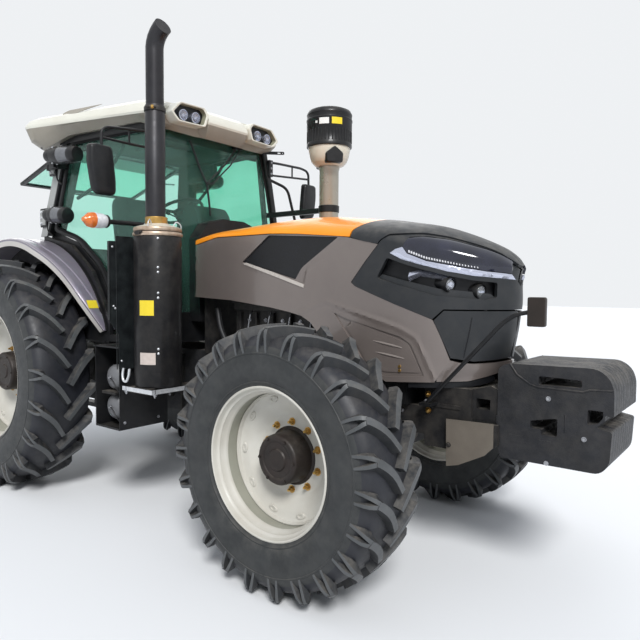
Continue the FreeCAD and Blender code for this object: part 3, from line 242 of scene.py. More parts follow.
def finishes():
    """Every finish of the tractor by its name."""
    for name, colour, second, rough, scale, options in (
        ("rubber", (36, 38, 41), (47, 49, 52), 0.58, 5, dict(spec=0.4, bump=0.35, grain=90, dust=0.3)),
        ("rubber_side", (42, 44, 45), (53, 55, 56), 0.55, 7, dict(spec=0.35, bump=0.2, grain=120, dust=0.18)),
        ("rim", (198, 196, 188), (182, 178, 168), 0.42, 4, dict(coat=0.15, bump=0.08, dust=0.25)),
        ("cast", (25, 26, 29), (38, 39, 43), 0.52, 9, dict(spec=0.4, bump=0.7, grain=150, depth=0.002, dust=0.3)),
        ("frame", (20, 21, 24), (36, 34, 33), 0.58, 7, dict(spec=0.35, bump=0.35, grain=120, dust=0.35)),
        ("iron", (58, 55, 52), (74, 68, 62), 0.5, 8, dict(metal=0.4, bump=0.4, grain=130, dust=0.25)),
        ("hub", (42, 34, 31), (30, 26, 24), 0.48, 12, dict(spec=0.4, metal=0.25, bump=0.5, grain=110, dust=0.15)),
        ("hood_grey", (122, 113, 108), (112, 103, 99), 0.34, 2.2,
         dict(metal=0.35, coat=0.55, bump=0.03, grain=900, depth=0.0004, dust=0.1)),
        ("hood_orange", (244, 152, 24), (238, 138, 18), 0.36, 2.0,
         dict(coat=0.3, bump=0.03, grain=600, depth=0.0004, dust=0.06)),
        ("nose", (33, 36, 39), (41, 43, 46), 0.44, 3, dict(spec=0.4, bump=0.12, grain=700, depth=0.0005, dust=0.16)),
        ("nose_dark", (14, 15, 17), (21, 22, 26), 0.42, 6, dict(spec=0.35, bump=0.15, grain=500)),
        # Vent mesh: the blue-black is its own colour; the bluish patches of the second tone are a painted reflection
        ("mesh_black", (20, 21, 28), (32, 33, 46), 0.36, 9, dict(wave=260, bump=0.3, grain=260)),
        ("chrome", (205, 208, 222), (188, 192, 210), 0.16, 5, dict(metal=0.9, spread=0.04)),
        ("mirror", (215, 218, 222), (200, 204, 210), 0.08, 9, dict(metal=1.0, spread=0.03)),
        ("lens", (20, 22, 32), (34, 36, 52), 0.12, 8, dict(spec=0.4, coat=0.6, coat_rough=0.04, spread=0.03)),
        ("clear", (225, 230, 235), (254, 255, 255), 0.06, 3, dict(clear=0.85, spread=0.02)),
        ("amber", (214, 112, 16), (196, 92, 10), 0.24, 40, dict(coat=0.8, spread=0.04)),
        ("frosted", (222, 222, 224), (200, 200, 204), 0.25, 60, dict(coat=0.6, spread=0.05)),
        ("drum", (15, 15, 17), (20, 20, 22), 0.46, 4, dict(spec=0.22, coat=0.12, bump=0.12, grain=300, dust=0.2)),
        ("pipe", (52, 52, 55), (42, 41, 44), 0.42, 5, dict(spec=0.35, metal=0.45, bump=0.1, grain=300, dust=0.1)),
        ("cream", (212, 206, 190), (198, 190, 174), 0.42, 5, dict(coat=0.2, bump=0.05, dust=0.12)),
        ("brass", (196, 160, 92), (168, 132, 74), 0.34, 30, dict(metal=0.85, bump=0.2, grain=400)),
        ("steel", (176, 178, 182), (150, 150, 154), 0.3, 20, dict(metal=0.9, bump=0.1, grain=500)),
        ("zinc", (214, 216, 218), (190, 192, 196), 0.32, 30, dict(metal=0.6, bump=0.1, grain=400)),
        ("black", (15, 16, 18), (23, 24, 27), 0.42, 6, dict(spec=0.32, coat=0.1, bump=0.12, grain=400, dust=0.12)),
        ("rubber_seal", (12, 12, 13), (18, 18, 19), 0.7, 12, dict(spec=0.25, bump=0.2, grain=200)),
        ("roof", (218, 217, 205), (208, 205, 192), 0.38, 3, dict(coat=0.3, bump=0.03, dust=0.1)),
        ("roof_grey", (150, 144, 132), (138, 132, 120), 0.45, 5, dict(bump=0.1, dust=0.1)),
        # Headliner: partly its own grey, partly painted shade of the cab's inside
        ("headliner", (70, 70, 68), (60, 60, 58), 0.8, 8, dict(spec=0.2, bump=0.3, grain=400)),
        ("fender", (132, 126, 138), (120, 114, 128), 0.34, 2.5, dict(metal=0.3, coat=0.4, dust=0.15)),
        ("plate", (122, 114, 104), (104, 97, 88), 0.55, 7, dict(metal=0.3, bump=0.5, grain=90, dust=0.2)),
        ("bronze", (50, 42, 37), (40, 34, 30), 0.4, 6, dict(spec=0.4, metal=0.2, bump=0.1, grain=300)),
        ("yellow", (228, 205, 40), (218, 192, 34), 0.45, 12, dict(coat=0.3)),
        ("seat_cloth", (52, 54, 56), (40, 42, 44), 0.85, 60, dict(bump=0.6, grain=900, depth=0.0006)),
        ("console", (46, 50, 52), (36, 40, 42), 0.6, 10, dict(spec=0.3, bump=0.3, grain=500)),
        ("engine", (34, 35, 37), (50, 48, 46), 0.5, 11, dict(spec=0.4, metal=0.3, bump=0.6, grain=70, dust=0.3)),
        ("hose", (22, 22, 24), (34, 34, 36), 0.5, 30, dict(bump=0.3, grain=300)),
        ("clamp", (196, 178, 160), (160, 138, 116), 0.36, 26, dict(metal=0.55, bump=0.1, grain=400)),
        ("satin", (166, 162, 150), (152, 148, 136), 0.32, 3, dict(metal=0.35, coat=0.4)),
        ("label_pale", (192, 180, 172), (180, 168, 160), 0.5, 40, dict(coat=0.1)),
        ("label", (226, 226, 222), (214, 214, 210), 0.45, 12, dict(coat=0.2)),
        ("wing_edge", (196, 192, 186), (182, 178, 174), 0.38, 3, dict(coat=0.3, dust=0.1)),
        ("roof_insert", (122, 130, 134), (112, 120, 124), 0.45, 5, dict(bump=0.1)),
        # Pale strip on the ridge under the vent: a painted highlight
        ("hood_painted_highlight", (196, 188, 180), (186, 178, 170), 0.3, 3, dict(metal=0.3, coat=0.5)),
        # Lighter lug tops: partly dust, partly a painted highlight
        ("rubber_top_dust_and_sheen", (64, 67, 69), (80, 82, 84), 0.5, 6, dict(bump=0.25, grain=110, dust=0.2)),
        # Darker rubber for the tread valleys: painted shade
        ("rubber_valley_shade", (24, 26, 32), (33, 35, 42), 0.5, 6, dict(bump=0.2, grain=100, dust=0.12)),
        # Darker rim finish for the barrel: painted shade
        ("rim_shade", (150, 150, 138), (136, 136, 124), 0.42, 4, dict(coat=0.15, bump=0.08, dust=0.2)),
        # Darker roof grey for the lamp pods' inner walls: painted shade
        ("roof_shade", (146, 144, 124), (132, 130, 110), 0.5, 5, dict(bump=0.1)),
        ("grey", (158, 160, 158), (146, 148, 146), 0.42, 5, dict(coat=0.2, bump=0.05, dust=0.1)),
        # Glossy grey for the hinge housings' middle band: a painted highlight on the dark housing
        ("grey_gloss", (96, 98, 102), (84, 86, 90), 0.24, 9, dict(coat=0.6, spread=0.04)),
        ("shield", (17, 19, 21), (36, 40, 41), 0.4, 14,
         dict(spec=0.35, bump=0.8, grain=26, depth=0.004, spread=0.12)),
        ("tank", (112, 113, 116), (96, 97, 100), 0.48, 5, dict(metal=0.2, bump=0.15, grain=300, dust=0.2)),
        ("tank_plastic", (22, 23, 25), (30, 31, 33), 0.5, 6, dict(spec=0.35, bump=0.25, grain=260, dust=0.25)),
        ("glass", (184, 242, 224), (178, 238, 219), 0.03, 2, dict(clear=0.96, spread=0.01, index=1.3)),
    ):
        M[name] = material(name, colour, second, rough, scale, **options)


# Mesh building
class Form:
    """Points and faces of one piece, in the part's millimetres."""

    def __init__(self):
        self.points = []
        self.faces = []
        self.marks = []

    def add(self, points, faces, mark=0):
        first = len(self.points)
        self.points.extend(Vector(point) for point in points)
        self.faces.extend([first + i for i in face] for face in faces)
        self.marks.extend([mark] * len(faces))
        return self

    def join(self, other, move=lambda p: p):
        first = len(self.points)
        self.points.extend(Vector(move(point)) for point in other.points)
        self.faces.extend([first + i for i in face] for face in other.faces)
        self.marks.extend(other.marks)
        return self

    def skin(self, loops, mark=0, caps=True, wrap=False, open_loops=False):
        """A skin over loops that have the same number of points."""
        n = len(loops[0])
        m = len(loops)
        faces = []
        for i in range(m if wrap else m - 1):
            a = i * n
            b = (i + 1) % m * n
            for j in range(n - 1 if open_loops else n):
                k = (j + 1) % n
                faces.append((a + j, a + k, b + k, b + j))
        if caps and not wrap and not open_loops:
            faces.append(tuple(range(n - 1, -1, -1)))
            faces.append(tuple((m - 1) * n + j for j in range(n)))
        return self.add([p for loop in loops for p in loop], faces, mark)

    def box(self, x, y, z, mark=0):
        return self.skin([[(x[i], b, c) for b, c in ((y[0], z[0]), (y[1], z[0]), (y[1], z[1]), (y[0], z[1]))]
            for i in (0, 1)], mark)

    def lathe(self, centre, axis, profile, sides=32, mark=0, wrap=False, caps=True):
        """profile, pairs of radius and distance along axis, turned about it."""
        line = Vector(axis).normalized()
        one = line.orthogonal().normalized()
        two = line.cross(one)
        loops = []
        for radius, along in profile:
            loops.append([Vector(centre) + line * along + (one * cos(a) + two * sin(a)) * max(radius, 0.01)
                for a in around(sides)])
        return self.skin(loops, mark, caps=caps, wrap=wrap)

    def tube(self, path, radius, sides=12, mark=0, turns=0):
        """A round bar along a path. turns is how many points smooth each corner."""
        path = [Vector(p) for p in path]
        if turns:
            path = soften(path, turns)
        side = None
        loops = []
        for i, point in enumerate(path):
            ahead = (path[min(i + 1, len(path) - 1)] - path[max(i - 1, 0)]).normalized()
            if side is None:
                side = ahead.orthogonal().normalized()
            side = (side - ahead * side.dot(ahead)).normalized()
            other = ahead.cross(side)
            size = radius if isinstance(radius, (int, float)) else radius[min(i, len(radius) - 1)]
            loops.append([point + (side * cos(a) + other * sin(a)) * size for a in around(sides)])
        return self.skin(loops, mark)

    def plate(self, shape, plane, low, high, holes=(), mark=0, edge_mark=None, step=None):
        """A flat plate with holes. plane names the two axes of shape, and low and high are on the third."""
        flat, faces, rims = fill(shape, holes, step)
        count = len(flat)

        def lift(point, level):
            a, b = point
            return {"xz": (a, level, b), "xy": (a, b, level), "yz": (level, a, b)}[plane]

        points = [lift(p, low) for p in flat] + [lift(p, high) for p in flat]
        self.add(points, [tuple(reversed(f)) for f in faces] + [tuple(i + count for i in f) for f in faces], mark)
        first = len(self.points) - len(points)
        for rim in rims:
            for i, a in enumerate(rim):
                b = rim[(i + 1) % len(rim)]
                self.faces.append([first + a, first + b, first + b + count, first + a + count])
                self.marks.append(mark if edge_mark is None else edge_mark)
        return self

    def bolt(self, place, axis, size=9, mark=0, washer=True):
        """A hexagon head on a washer. size is the radius over its corners."""
        if washer:
            self.lathe(place, axis, [(size * 1.35, 0), (size * 1.35, size * 0.25), (0, size * 0.25)], 14, mark)
        return self.lathe(place, axis, [(size, size * 0.2), (size, size * 0.9), (size * 0.82, size * 1.1),
            (0, size * 1.1)], 6, mark)


def soften(path, turns):
    """A path with its inner corners replaced by short curves."""
    result = [path[0]]
    for i in range(1, len(path) - 1):
        before, here, after = path[i - 1], path[i], path[i + 1]
        reach = 0.42 * min((before - here).length, (after - here).length, 140)
        start = here + (before - here).normalized() * reach
        end = here + (after - here).normalized() * reach
        for k in range(turns + 1):
            t = k / turns
            result.append(start * (1 - t) ** 2 + here * 2 * t * (1 - t) + end * t * t)
    return result + [path[-1]]


def rounded(shape, radius, steps=4):
    """A flat outline with its corners rounded. radius is one number, or one for each corner."""
    result = []
    n = len(shape)
    for i in range(n):
        here = Vector(shape[i])
        before = Vector(shape[i - 1]) - here
        after = Vector(shape[(i + 1) % n]) - here
        size = radius if isinstance(radius, (int, float)) else radius[i]
        reach = min(size, 0.48 * before.length, 0.48 * after.length)
        if reach < 0.5:
            result.append(tuple(here))
            continue
        start = here + before.normalized() * reach
        end = here + after.normalized() * reach
        for k in range(steps + 1):
            t = k / steps
            result.append(tuple(start * (1 - t) ** 2 + here * 2 * t * (1 - t) + end * t * t))
    return result


def divided(loop, step):
    result = []
    for i, a in enumerate(loop):
        b = loop[(i + 1) % len(loop)]
        parts = max(1, round(dist(a, b) / step)) if step else 1
        result += [(a[0] + (b[0] - a[0]) * k / parts, a[1] + (b[1] - a[1]) * k / parts) for k in range(parts)]
    return result


def resampled(loop, count):
    """A closed loop as evenly spaced points."""
    points = np.array([*loop, loop[0]], float)
    reach = np.concatenate([[0], np.cumsum(np.linalg.norm(np.diff(points, axis=0), axis=1))])
    spots = np.linspace(0, reach[-1], count, endpoint=False)
    return [tuple(float(np.interp(spot, reach, points[:, k])) for k in range(3)) for spot in spots]


def inside(points, loop):
    """Which of the points are inside a closed outline."""
    x, y = points[:, 0], points[:, 1]
    hit = np.zeros(len(points), bool)
    for i, (ax, ay) in enumerate(loop):
        bx, by = loop[i - 1]
        crosses = (ay > y) != (by > y)
        with np.errstate(divide="ignore", invalid="ignore"):
            hit ^= crosses & (x < (bx - ax) * (y - ay) / (by - ay) + ax)
    return hit


def distance_to(points, line, closed=True):
    """How far each point is from a line of straight runs."""
    best = np.full(len(points), 1e9)
    for i in range(len(line) if closed else len(line) - 1):
        a = np.array(line[i], float)
        b = np.array(line[(i + 1) % len(line)], float)
        run = b - a
        share = np.clip(((points - a) @ run) / max(run @ run, 1e-9), 0, 1)
        best = np.minimum(best, np.linalg.norm(points - (a + share[:, None] * run), axis=1))
    return best


def fill(shape, holes=(), step=None):
    """Triangles over an outline less its holes: flat points, faces, and the rims as lists of points."""
    loops = [divided(loop, step) for loop in (shape, *holes)]
    points = []
    edges = []
    for loop in loops:
        first = len(points)
        points += loop
        edges += [(first + i, first + (i + 1) % len(loop)) for i in range(len(loop))]
    if step:
        outer = np.array(loops[0])
        low, high = outer.min(0), outer.max(0)
        rows = np.arange(low[1] + step / 2, high[1], step * 0.87)
        grid = np.array([(x + (step / 2 if k % 2 else 0), y) for k, y in enumerate(rows)
            for x in np.arange(low[0], high[0], step)])
        keep = inside(grid, loops[0])
        for hole in loops[1:]:
            keep &= ~inside(grid, hole)
        grid = grid[keep]
        for loop in loops:
            grid = grid[distance_to(grid, loop) > 0.45 * step]
        points += [tuple(p) for p in grid]
    flat, _, faces, origin, _, _ = delaunay_2d_cdt([Vector(p) for p in points], edges, [], 0, 1e-4)
    flat = [tuple(p) for p in flat]
    table = np.array(flat)
    middles = np.array([table[list(f)].mean(0) for f in faces])
    keep = inside(middles, loops[0])
    for hole in loops[1:]:
        keep &= ~inside(middles, hole)
    kept = []
    for face, good in zip(faces, keep):
        if good:
            a, b, c = (table[i] for i in face[:3])
            turn = (b[0] - a[0]) * (c[1] - a[1]) - (b[1] - a[1]) * (c[0] - a[0])
            kept.append(tuple(face) if turn > 0 else tuple(reversed(face)))
    where = {}
    for new, olds in enumerate(origin):
        for old in olds:
            where[old] = new
    rims = []
    first = 0
    for loop in loops:
        rims.append([where.get(first + i, first + i) for i in range(len(loop))])
        first += len(loop)
    return flat, kept, rims


def piece(name, form, finish, replaces=(), body="chassis", bevel=0.0, angle=40, subdivide=0):
    """Makes the object, gives it its finishes and sets it on its body."""
    mesh = bpy.data.meshes.new(name)
    place = [((p.x - REAR_AXLE) / 1000, p.y / 1000, p.z / 1000) for p in form.points]
    mesh.from_pydata(place, [], form.faces)
    for title in ([finish] if isinstance(finish, str) else finish):
        mesh.materials.append(M[title])
    mesh.polygons.foreach_set("material_index", form.marks)
    work = bmesh.new()
    work.from_mesh(mesh)
    bmesh.ops.remove_doubles(work, verts=work.verts, dist=2e-5)
    bmesh.ops.recalc_face_normals(work, faces=work.faces)
    work.to_mesh(mesh)
    work.free()
    mesh.set_sharp_from_angle(angle=radians(angle))
    thing = bpy.data.objects.new(name, mesh)
    bpy.context.collection.objects.link(thing)
    if bevel:
        rounding = thing.modifiers.new("rounding", "BEVEL")
        rounding.width = bevel / 1000
        rounding.segments = 2
        rounding.limit_method = "ANGLE"
        rounding.angle_limit = radians(angle)
        rounding.harden_normals = True
    if subdivide:
        smooth = thing.modifiers.new("smooth", "SUBSURF")
        smooth.levels = smooth.render_levels = subdivide
    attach(thing, body)
    if replaces:
        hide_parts(*([replaces] if isinstance(replaces, str) else replaces))
    return thing


def dress(node, finish, bevel=0.0):
    """Keeps a CAD node with a better finish and rounded edges."""
    thing = NODES[node]
    if not thing.material_slots:
        raise SystemExit(node + " has no material slot")
    for place in thing.material_slots:
        place.link = "OBJECT"
        place.material = M[finish]
    if bevel:
        rounding = thing.modifiers.new("rounding", "BEVEL")
        rounding.width = bevel / 1000
        rounding.segments = 2
        rounding.limit_method = "ANGLE"
        rounding.angle_limit = radians(35)


def turned(form, centre, side):
    """A wheel's form, made about its own middle with +y outward, set on one side of the tractor."""
    copy = Form()
    return copy.join(form, lambda p: (centre[0] + p.x, side * (centre[1] + p.y), centre[2] + p.z))


# Tyres and rims
def between(x, xs, ys):
    return float(np.interp(x, xs, ys))


def tyre(radius, half, seat, ring, count, height):
    """A ribless agricultural tyre: bars that lead at the middle and end in two legs on the shoulder."""
    form = Form()
    band = radius - height
    side = [(band, 0), (band - 1, 0.30), (band - 6, 0.55), (band - 17, 0.74), (band - 36, 0.87), (band - 62, 0.94),
        ((band - 62 + ring) / 2, 0.975), (ring + 5, 0.985), (ring + 3, 1.0), (ring - 3, 1.0), (ring - 5, 0.985),
        (ring * 0.72 + seat * 0.28, 1.0), (ring * 0.45 + seat * 0.55, 0.985), (ring * 0.2 + seat * 0.8, 0.94),
        (seat + 26, 0.915), (seat + 24, 0.925), (seat + 19, 0.925), (seat + 17, 0.90), (seat + 8, 0.875),
        (seat - 6, 0.85)]
    profile = [(r, share * half) for r, share in side]
    profile = [(r, -y) for r, y in reversed(profile)] + profile[1:]
    form.lathe((0, 0, 0), (0, 1, 0), profile, 96, 1, caps=False)
    pitch = 2 * pi / count
    # Stations of the bar and its legs: share of the half width, lead in degrees, depth below the tread, half width at
    # the top, tilt of the top towards the side, height
    bar = [(0.02, 14.8, 0, 15, 0, height + 6), (0.14, 12.2, 0, 15.5, 0, height + 6), (0.28, 9.1, 0, 16.5, 0,
        height + 8), (0.42, 6.5, 1, 17.5, 0, height + 8), (0.56, 4.4, 3, 18, 5, height + 12),
        (0.70, 2.7, 6, 18, 8, height + 16), (0.82, 1.3, 10, 18, 14, height + 22), (0.90, 0.8, 14, 16, 22,
        height + 24)]
    # The tread between the bars takes a darker rubber as painted shade
    for index, face in enumerate(form.faces):
        middle = sum((form.points[i] for i in face), Vector()) / len(face)
        if abs(middle.y) < 0.93 * half and hypot(middle.x, middle.z) > ring + 10:
            form.marks[index] = 3
    first_bar = len(form.points)
    drop = radius - ring
    legs = []
    for lean in (-1, 1):
        legs.append([(0.76, 2.0 + 0.1 * lean, 9, 8, 12, height + 20), (0.88, 0.7 + 0.75 * lean, 14, 10, 22,
            height + 20), (0.955, 0.3 + 1.35 * lean, 30, 10, 50, 44), (0.99, 0.2 + 1.85 * lean, 0.38 * drop, 9.5, 72,
            36), (1.0, 0.1 + 2.3 * lean, 0.62 * drop, 9, 84, 26), (1.0, 0.1 + 2.6 * lean, 0.84 * drop, 8.5, 88, 14),
            (0.99, 0.1 + 2.8 * lean, 0.97 * drop, 8, 88, 8)])
    flare = 9
    for flip in (1, -1):
        for index in range(count):
            start = pitch * (index + (0.5 if flip < 0 else 0))
            for stations in (bar, *legs):
                middles = []
                for share, lead, depth, wide, tilt, deep in stations:
                    middles.append(Vector((radians(lead) * radius, share * half, radius - depth)))
                loops = []
                for i, (share, lead, depth, wide, tilt, deep) in enumerate(stations):
                    ahead = (middles[min(i + 1, len(middles) - 1)] - middles[max(i - 1, 0)]).normalized()
                    tip = radians(tilt)
                    up = Vector((0, sin(tip), cos(tip)))
                    up = (up - ahead * up.dot(ahead)).normalized()
                    across = ahead.cross(up).normalized()
                    foot = middles[i] - up * deep
                    loops.append([middles[i] + across * wide, middles[i] - across * wide,
                        foot - across * (wide + flare * deep / height),
                        foot + across * (wide + flare * deep / height)])
                form.skin([[(p.z * sin(start + p.x / radius), flip * p.y, p.z * cos(start + p.x / radius))
                    for p in loop] for loop in loops], 0)
    # The bar tops take the lighter rubber: partly dust, partly a painted highlight
    for index, face in enumerate(form.faces):
        if face[0] >= first_bar and all((i - first_bar) % 4 < 2 for i in face):
            form.marks[index] = 2
    return form


def rim(barrel, seat, flange, half, disc, hub_radius, hub_reach, bolt_circle, bolts, pads):
    """A two-piece wheel: dropped barrel with rolled lips, dished disc bolted to a cast hub."""
    form = Form()
    lip = [(flange + 3, half + 4), (flange + 2, half + 14), (flange - 4, half + 18), (flange - 10, half + 15),
        (flange - 13, half + 6), (flange - 15, half - 6), (flange - 20, half - 14), (flange - 27, half - 18),
        (flange - 31, half - 40), (flange - 38, half - 50), (flange - 44, half - 64), (barrel - 14, half - 100)]
    outer = [(seat + 2, half - 10), (seat, half - 40), (barrel - 4, half - 70)]
    loop = [(r, o) for r, o in lip] + [(r, -o) for r, o in reversed(lip)]
    loop += [(r, -o) for r, o in outer] + [(r, o) for r, o in reversed(outer)]
    form.lathe((0, 0, 0), (0, 1, 0), loop, 96, 0, wrap=True)
    # Painted shade: the barrel between the lips takes the darker rim finish
    for index, face in enumerate(form.faces):
        middle = sum((form.points[i] for i in face), Vector()) / len(face)
        if abs(middle.y) < half - 66:
            form.marks[index] = 3
    edge = barrel - 15
    face = [(edge + 1, disc + 56), (edge - 2, disc + 66), (edge - 7, disc + 67), (edge - 10, disc + 60),
        (edge - 14, disc + 47), (edge - 26, disc + 40), (edge - 54, disc + 38), (edge - 70, disc + 30),
        (bolt_circle + 50, disc + 8), (bolt_circle + 34, disc + 1), (bolt_circle + 28, disc), (hub_radius + 6, disc),
        (hub_radius + 4, disc - 2)]
    back = [(r, o - 11) for r, o in reversed(face)]
    form.lathe((0, 0, 0), (0, 1, 0), face + back, 96, 0, wrap=True)
    form.lathe((0, 0, 0), LEFT, [(hub_radius + 22, disc - 14), (hub_radius + 22, disc + 2),
        (hub_radius + 8, disc + 10), (hub_radius + 3, disc + 30), (hub_radius - 2, hub_reach - 14),
        (hub_radius - 10, hub_reach - 3), (hub_radius - 22, hub_reach), (hub_radius - 34, hub_reach - 2),
        (hub_radius - 40, hub_reach - 8), (58, hub_reach - 8), (52, hub_reach - 1), (20, hub_reach), (0, hub_reach)],
        48, 1)
    for turn in around(bolts, 0.5):
        place = (bolt_circle * cos(turn), disc, bolt_circle * sin(turn))
        form.bolt(place, (0, 1, 0), 15, 2)
        form.lathe(place, LEFT, [(7.5, 0), (7.5, 30), (6, 33), (0, 33)], 12, 2)
    for turn in around(6):
        form.bolt(((hub_radius - 18) * cos(turn), hub_reach - 1, (hub_radius - 18) * sin(turn)), (0, 1, 0), 7, 1)
    for turn in around(pads):
        out = Vector((cos(turn), 0, sin(turn)))
        along = Vector((-sin(turn), 0, cos(turn)))
        middle = out * (edge - 40) + Vector((0, disc + 39, 0))
        form.skin([[middle + Vector((0, level, 0)) + along * 30 * size * cos(a) + out * 17 * size * sin(a)
            for a in around(20)] for size, level in ((1.0, -3), (1.0, 4), (0.86, 7), (0.5, 7), (0.42, 3))], 0)
    form.lathe((edge * 0.87, disc + 44, 0), LEFT, [(4, 0), (4, 20), (2.5, 34), (0, 34)], 8, 1)
    return form


def wheels():
    front = tyre(radius=FRONT_RADIUS, half=FRONT_HALF, seat=380.5, ring=545, count=23, height=40)
    rear = tyre(radius=REAR_RADIUS, half=REAR_HALF, seat=507.5, ring=712, count=21, height=44)
    front_rim = rim(barrel=355.5, seat=364.5, flange=380.5, half=160, disc=-35, hub_radius=130,
        hub_reach=90, bolt_circle=176, bolts=10, pads=10)
    rear_rim = rim(barrel=482.5, seat=491.5, flange=507.5, half=180, disc=-60, hub_radius=150,
        hub_reach=70, bolt_circle=200, bolts=10, pads=12)
    for where, centre, tyre_form, rim_form in (("front", (FRONT_AXLE, FRONT_Y, FRONT_RADIUS), front, front_rim),
        ("rear", (0, REAR_Y, REAR_RADIUS), rear, rear_rim)):
        for name, side in (("left", 1), ("right", -1)):
            body = f"{where}_{name}_wheel"
            piece(f"{body}_tread", turned(tyre_form, centre, side), ["rubber", "rubber_side", "rubber_top_dust_and_sheen",
                "rubber_valley_shade"], f"{where}_{name}_tyre", body=body, bevel=2.5)
            piece(f"{body}_disc", turned(rim_form, centre, side), ["rim", "hub", "brass", "rim_shade"],
                f"{where}_{name}_rim", body=body)


# Hood surface
SHOULDER = ((1556, 1862), (1720, 1890), (2250, 1890), (2530, 1866), (2976, 1825), (3285, 1765), (3451, 1725),
    (3628, 1683), (3708, 1660), (3740, 1653))
CROWN = ((1556, 1905), (1720, 1950), (2250, 1998), (2530, 2006), (2976, 1955), (3285, 1902), (3451, 1845),
    (3628, 1769), (3708, 1715), (3740, 1653))
NOSE_FACE = ((900, 3640), (1000, 3655), (1178, 3683), (1326, 3712), (1490, 3730), (1580, 3720), (1653, 3740))
TURN_X = 2950
HALF = 405
TIP_X = 3740
TURN = 790
OVER = 250


def smooth_table(table, count=80):
    """A table's straight runs, softened where they meet."""
    xs = np.array([row[0] for row in table], float)
    ys = np.array([row[1] for row in table], float)
    grid = np.linspace(xs[0], xs[-1], count)
    line = np.interp(grid, xs, ys)
    for _ in range(6):
        line[1:-1] = (line[:-2] + 2 * line[1:-1] + line[2:]) / 4
    return grid, line


SHOULDER_LINE = smooth_table(SHOULDER)
CROWN_LINE = smooth_table(CROWN)
FACE_LINE = smooth_table(NOSE_FACE, 40)


def shoulder(x):
    return np.interp(x, *SHOULDER_LINE)


def crown(x):
    return np.interp(x, *CROWN_LINE)


def nose_x(z):
    return np.interp(z, *FACE_LINE)


def side_uv(x, z):
    """The hood's own coordinates of a point on its side, from its x and z."""
    if x <= TURN_X:
        return x, z
    return TURN_X + TURN * asin(min(1, (x - TURN_X) / (float(nose_x(z)) - TURN_X))), z


def top_uv(x, y):
    """The same for a point on its top, from its x and its distance from the middle."""
    turn = 0 if x <= TURN_X else asin(min(1, (x - TURN_X) / (TIP_X - TURN_X)))
    rim_y = HALF * cos(turn)
    u = x if x <= TURN_X else TURN_X + TURN * turn
    return u, float(shoulder(x)) + OVER * acos(max(-1, min(1, y / max(rim_y, 1))))


def hood_points(uv):
    """Places on the hood's right side for its own coordinates."""
    u, v = uv[:, 0], uv[:, 1]
    turn = np.clip((u - TURN_X) / TURN, 0, pi / 2 * 1.06)
    x = np.minimum(u, TURN_X)
    for _ in range(3):
        edge = nose_x(np.minimum(v, shoulder(np.minimum(x, TIP_X))))
        x = np.where(u <= TURN_X, u, TURN_X + (edge - TURN_X) * np.sin(turn))
    y = HALF * np.cos(turn)
    low = shoulder(x)
    over = np.clip((v - low) / OVER, 0, pi / 2)
    rise = np.maximum(crown(x) - low, 0)
    z = np.where(v <= low, v, low + rise * np.sin(over))
    return np.stack([x, -y * np.cos(over), z], 1)


def hood_normals(uv):
    ahead = hood_points(uv + (2, 0)) - hood_points(uv - (2, 0))
    up = hood_points(uv + (0, 2)) - hood_points(uv - (0, 2))
    normal = np.cross(ahead, up)
    length = np.linalg.norm(normal, axis=1)
    normal = normal / np.maximum(length, 1e-9)[:, None]
    return np.where(normal[:, 1:2] > 0.3, -normal, normal)


def hood_panel(form, shape, step=16, level=0.0, height=None, edge=8.0, mark=0, holes=(), edge_mark=None):
    """One panel on both sides of the hood: shape in the hood's coordinates, level above its surface."""
    flat, faces, rims = fill(shape, holes, step)
    uv = np.array(flat)
    lift = np.full(len(uv), float(level))
    if height:
        lift = lift + height(uv)
    normals = hood_normals(uv)
    top = hood_points(uv) + normals * lift[:, None]
    for side in (1, -1):
        first = len(form.points)
        places = [(p[0], side * p[1], p[2]) for p in top]
        form.add(places, [f if side > 0 else tuple(reversed(f)) for f in faces], mark)
        if edge:
            for rim_line in rims:
                deep = [top[i] - normals[i] * edge for i in rim_line]
                low = len(form.points)
                form.points.extend(Vector((p[0], side * p[1], p[2])) for p in deep)
                for i, a in enumerate(rim_line):
                    j = (i + 1) % len(rim_line)
                    b = rim_line[j]
                    if abs(top[a][1]) < 0.6 and abs(top[b][1]) < 0.6:
                        continue
                    form.faces.append([first + b, first + a, low + i, low + j])
                    form.marks.append(mark if edge_mark is None else edge_mark)
    return form


def ramp(distance, width):
    """0 at the line, 1 from width away, smoothly."""
    share = np.clip(distance / width, 0, 1)
    return share * share * (3 - 2 * share)


def in_uv(points):
    """The hood's coordinates of points on its side."""
    return [side_uv(x, z) for x, z in points]


def on_top(points):
    """The hood's coordinates of points on its top."""
    return [top_uv(x, y) for x, y in points]


VENT = rounded(in_uv([(2030, 1712), (2263, 1874), (2805, 1838), (2561, 1684), (2530, 1661), (2485, 1596)]),
    (8, 14, 14, 30, 30, 8))
SEAM = in_uv([(3070, 1786), (2984, 1688), (2895, 1578), (2921, 1556), (3168, 1460), (3376, 1379)])
LOW_EDGE = [(1560, 1478), (1917, 1461), (2280, 1421), (2440, 1396), (2532, 1376), (2605, 1338), (2667, 1270),
    (2740, 1225), (3125, 1034)]
CREASE = in_uv([(2516, 1390), (2715, 1470), (3049, 1376), (3206, 1328), (3288, 1283), (3343, 1171), (3389, 1047)])
RECESS = rounded(in_uv([(2775, 1405), (2861, 1372), (3206, 1285), (3265, 1245), (3335, 1075), (3118, 1062),
    (3010, 1100)]), 14)
INNER = rounded(in_uv([(2861, 1328), (2912, 1363), (3245, 1250), (3318, 1094), (3118, 1088), (3018, 1112)]), 12)
ORANGE_LOW = [(1572, 1842), (1787, 1884), (2078, 1884), (2266, 1884), (2496, 1874), (2700, 1855), (2808, 1845),
    (2883, 1838)]


